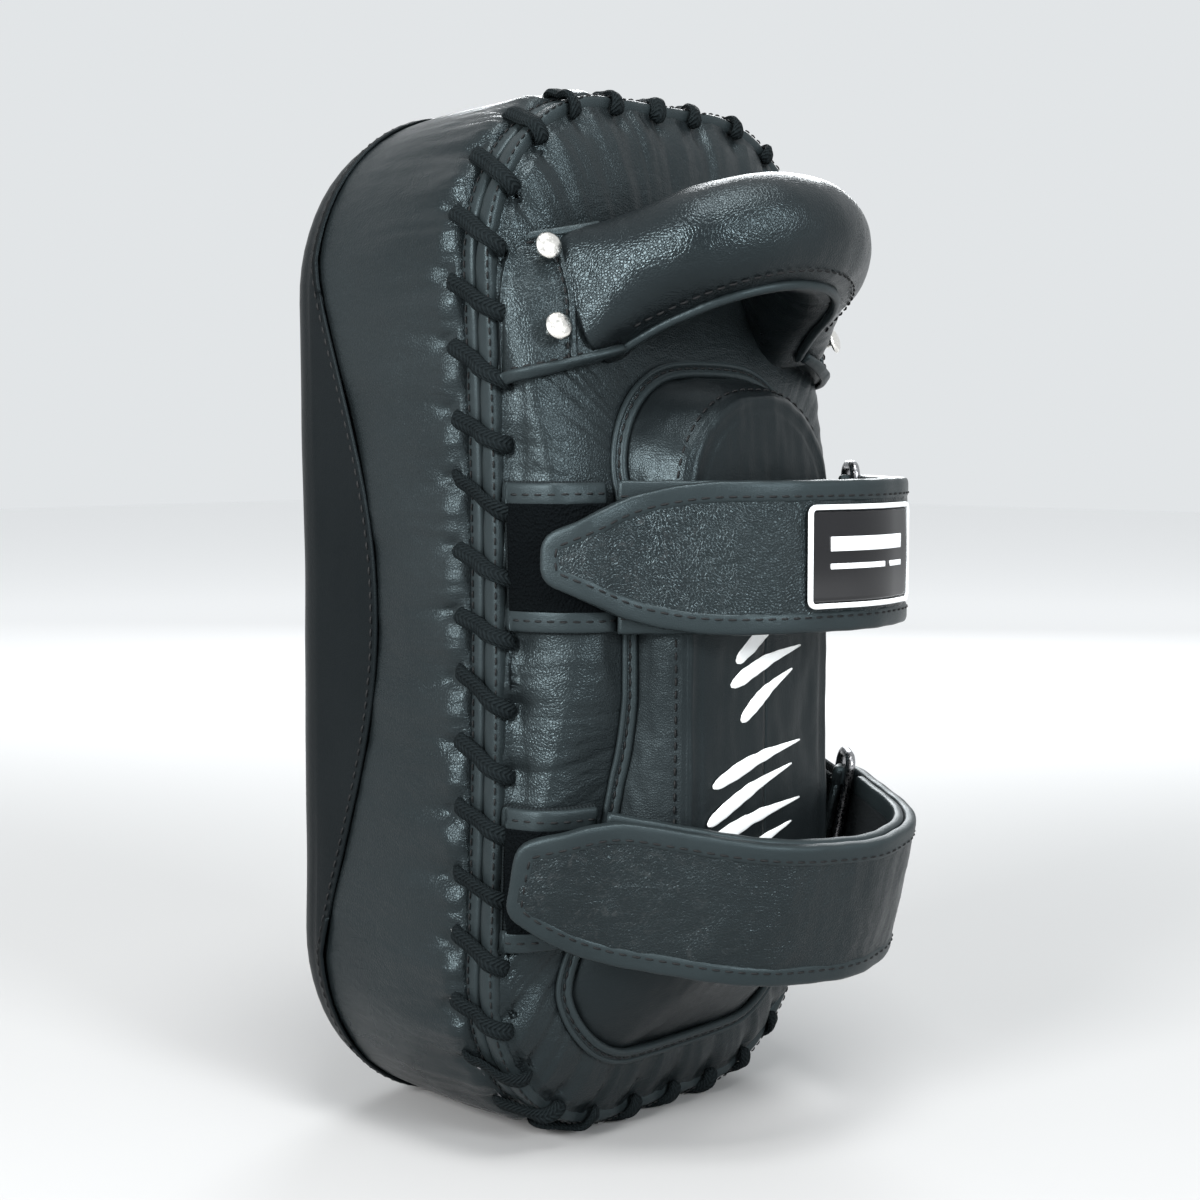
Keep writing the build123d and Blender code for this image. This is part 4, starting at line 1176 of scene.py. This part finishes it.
def build_badge(at, flat):
    """Raised glossy badge with a pale border and plain generic bars."""
    near = (flat[:, 0] > -15) & (flat[:, 0] < 42) & (flat[:, 1] < -35)
    line = resample(flat[near], 60)
    away = sideways(directions(line))
    plate = strap_skin("badge_plate_skin", at, line + away * 3.1, np.full(60, 16.6), 1.2, M_GLOSS, dome=0.45,
                       ripple=0.0, soft=0.0)
    place(plate, "upper_tongue", "badge_gloss", "badge_plate")
    lift = at.turn(away)
    steps = np.arange(60)
    length = float(travelled(line)[-1])
    half, near_end, far_end = 17.6, 0.8, length - 0.8
    loop = fillet_path([(near_end, 0), (near_end, half), (far_end, half), (far_end, -half), (near_end, -half),
                        (near_end, 0)], [2.2] * 4, arc_points=8)
    loop = resample(loop[:-1], 260, closed=True)
    index = np.clip(loop[:, 0] / length * steps[-1], 0, steps[-1])
    lifts = unit(look_up(index, steps, lift))
    path = at.place(look_up(index, steps, line + away * 3.85), loop[:, 1])
    tape("badge_frame_skin", path, lifts, 0.95, 0.75, M_WHITE, "upper_tongue", "badge_white",
         ["badge_frame"], closed=True, power=3.5, points=16)
    for name, z, start, end, half in (("bar_a", 4.5, 0.16, 0.84, 2.6), ("bar_b", -3.5, 0.16, 0.62, 1.0),
                                      ("bar_c", -3.5, 0.68, 0.84, 1.0)):
        index = np.linspace(start, end, 40) * steps[-1]
        lifts = unit(look_up(index, steps, lift))
        path = at.place(look_up(index, steps, line + away * 4.45), np.full(40, z))
        side = np.broadcast_to(at.z, lifts.shape)
        bar = sweep(f"badge_{name}", path, side, lifts, half, 0.25, M_WHITE, power=5)
        place(bar, "upper_tongue", "badge_white")


def finish_nodes():
    """Materials for the CAD nodes that stay in view."""
    finishes = {"ring": M_RING, "hook_patch": M_HOOK, "rivet": M_RIVET, "foam": M_FOAM, "core": M_FOAM}
    for node_name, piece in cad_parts.items():
        for key, material in finishes.items():
            if key in node_name:
                piece.data.materials.clear()
                piece.data.materials.append(material)


CAMERA_AZIMUTH, CAMERA_ELEVATION = math.radians(-47.3), math.radians(4.6)
CAMERA_DISTANCE, LENS = 0.8, 61.65
AIM = Vector((0, -0.03, 0.2))


def build_stage():
    """Floor painted darker round the pad and pale further off, as painted shade round the pad; pale backdrop,
    soft studio light and the camera.
    """
    floor_material, tree, shader = new_material("floor", (0.30, 0.30, 0.30), 0.9, Specular_IOR_Level=0.1)
    # Painted shade: the floor's colour is darkest round the pad and turns pale away from it, so less light is
    # thrown back up onto the pad.
    reach = node(tree, "ShaderNodeVectorMath", {"operation": "LENGTH"}, Vector=object_point(tree))
    floor_shade_ramp = node(tree, "ShaderNodeMapRange", {"interpolation_type": "SMOOTHSTEP"},
                 Value=reach.outputs["Value"], From_Min=0.3, From_Max=2.6, To_Min=0.34, To_Max=0.95)
    tree.links.new(floor_shade_ramp.outputs[0], shader.inputs["Base Color"])
    size = 6000
    floor = make_mesh("floor", [(-size, -size, 0), (size, -size, 0), (size, size, 0), (-size, size, 0)],
                      [(0, 1, 2, 3)], floor_material, smooth=False)
    world = bpy.data.worlds.new("studio")
    bpy.context.scene.world = world
    world.use_nodes = True
    world.node_tree.nodes["Background"].inputs["Color"].default_value = (0.95, 0.98, 1.0, 1)
    world.node_tree.nodes["Background"].inputs["Strength"].default_value = 0.8
    lamps = (("key", (-1.55, -0.25, 0.75), 46, 0.55, (1.0, 1.0, 1.0)),
             ("fill", (-0.25, -1.8, 0.85), 30, 0.5, (0.95, 0.98, 1.0)),
             ("top", (-0.3, -0.5, 1.7), 26, 0.6, (1.0, 1.0, 1.0)),
             ("rim", (1.2, 0.9, 1.0), 20, 0.7, (0.95, 0.98, 1.0)))
    for name, spot, power, width, color in lamps:
        lamp = bpy.data.lights.new(name, "AREA")
        lamp.energy, lamp.size, lamp.color = power, width, color
        holder = bpy.data.objects.new(name, lamp)
        holder.location = spot
        holder.rotation_euler = (AIM - Vector(spot)).to_track_quat("-Z", "Y").to_euler()
        bpy.context.scene.collection.objects.link(holder)
    level = math.cos(CAMERA_ELEVATION)
    back = Vector((math.sin(CAMERA_AZIMUTH) * level, -math.cos(CAMERA_AZIMUTH) * level,
                   math.sin(CAMERA_ELEVATION)))
    right = Vector((math.cos(CAMERA_AZIMUTH), math.sin(CAMERA_AZIMUTH), 0))
    up = back.cross(right)
    target = Vector((0, RIM_Y, MIDDLE)) * MM - right * 18.6 * MM + up * 4.6 * MM
    lens = bpy.data.cameras.new("camera")
    lens.sensor_width, lens.lens = 36, LENS
    lens.clip_start, lens.clip_end = 0.01, 100
    camera = bpy.data.objects.new("camera", lens)
    camera.location = target + back * CAMERA_DISTANCE
    camera.rotation_euler = back.to_track_quat("Z", "Y").to_euler()
    bpy.context.scene.collection.objects.link(camera)
    bpy.context.scene.camera = camera
    bpy.context.scene.view_settings.view_transform = "Standard"


build_gusset()
build_strike()
build_back()
build_welts()
build_lace()
build_grip()
build_rivets()
build_cushion()
build_marks()
for strap_name, strap_spec in STRAPS.items():
    strap_at, strap_line = build_strap(strap_name, strap_spec)
    if strap_name == "upper":
        build_badge(strap_at, strap_line)
finish_nodes()
build_stage()
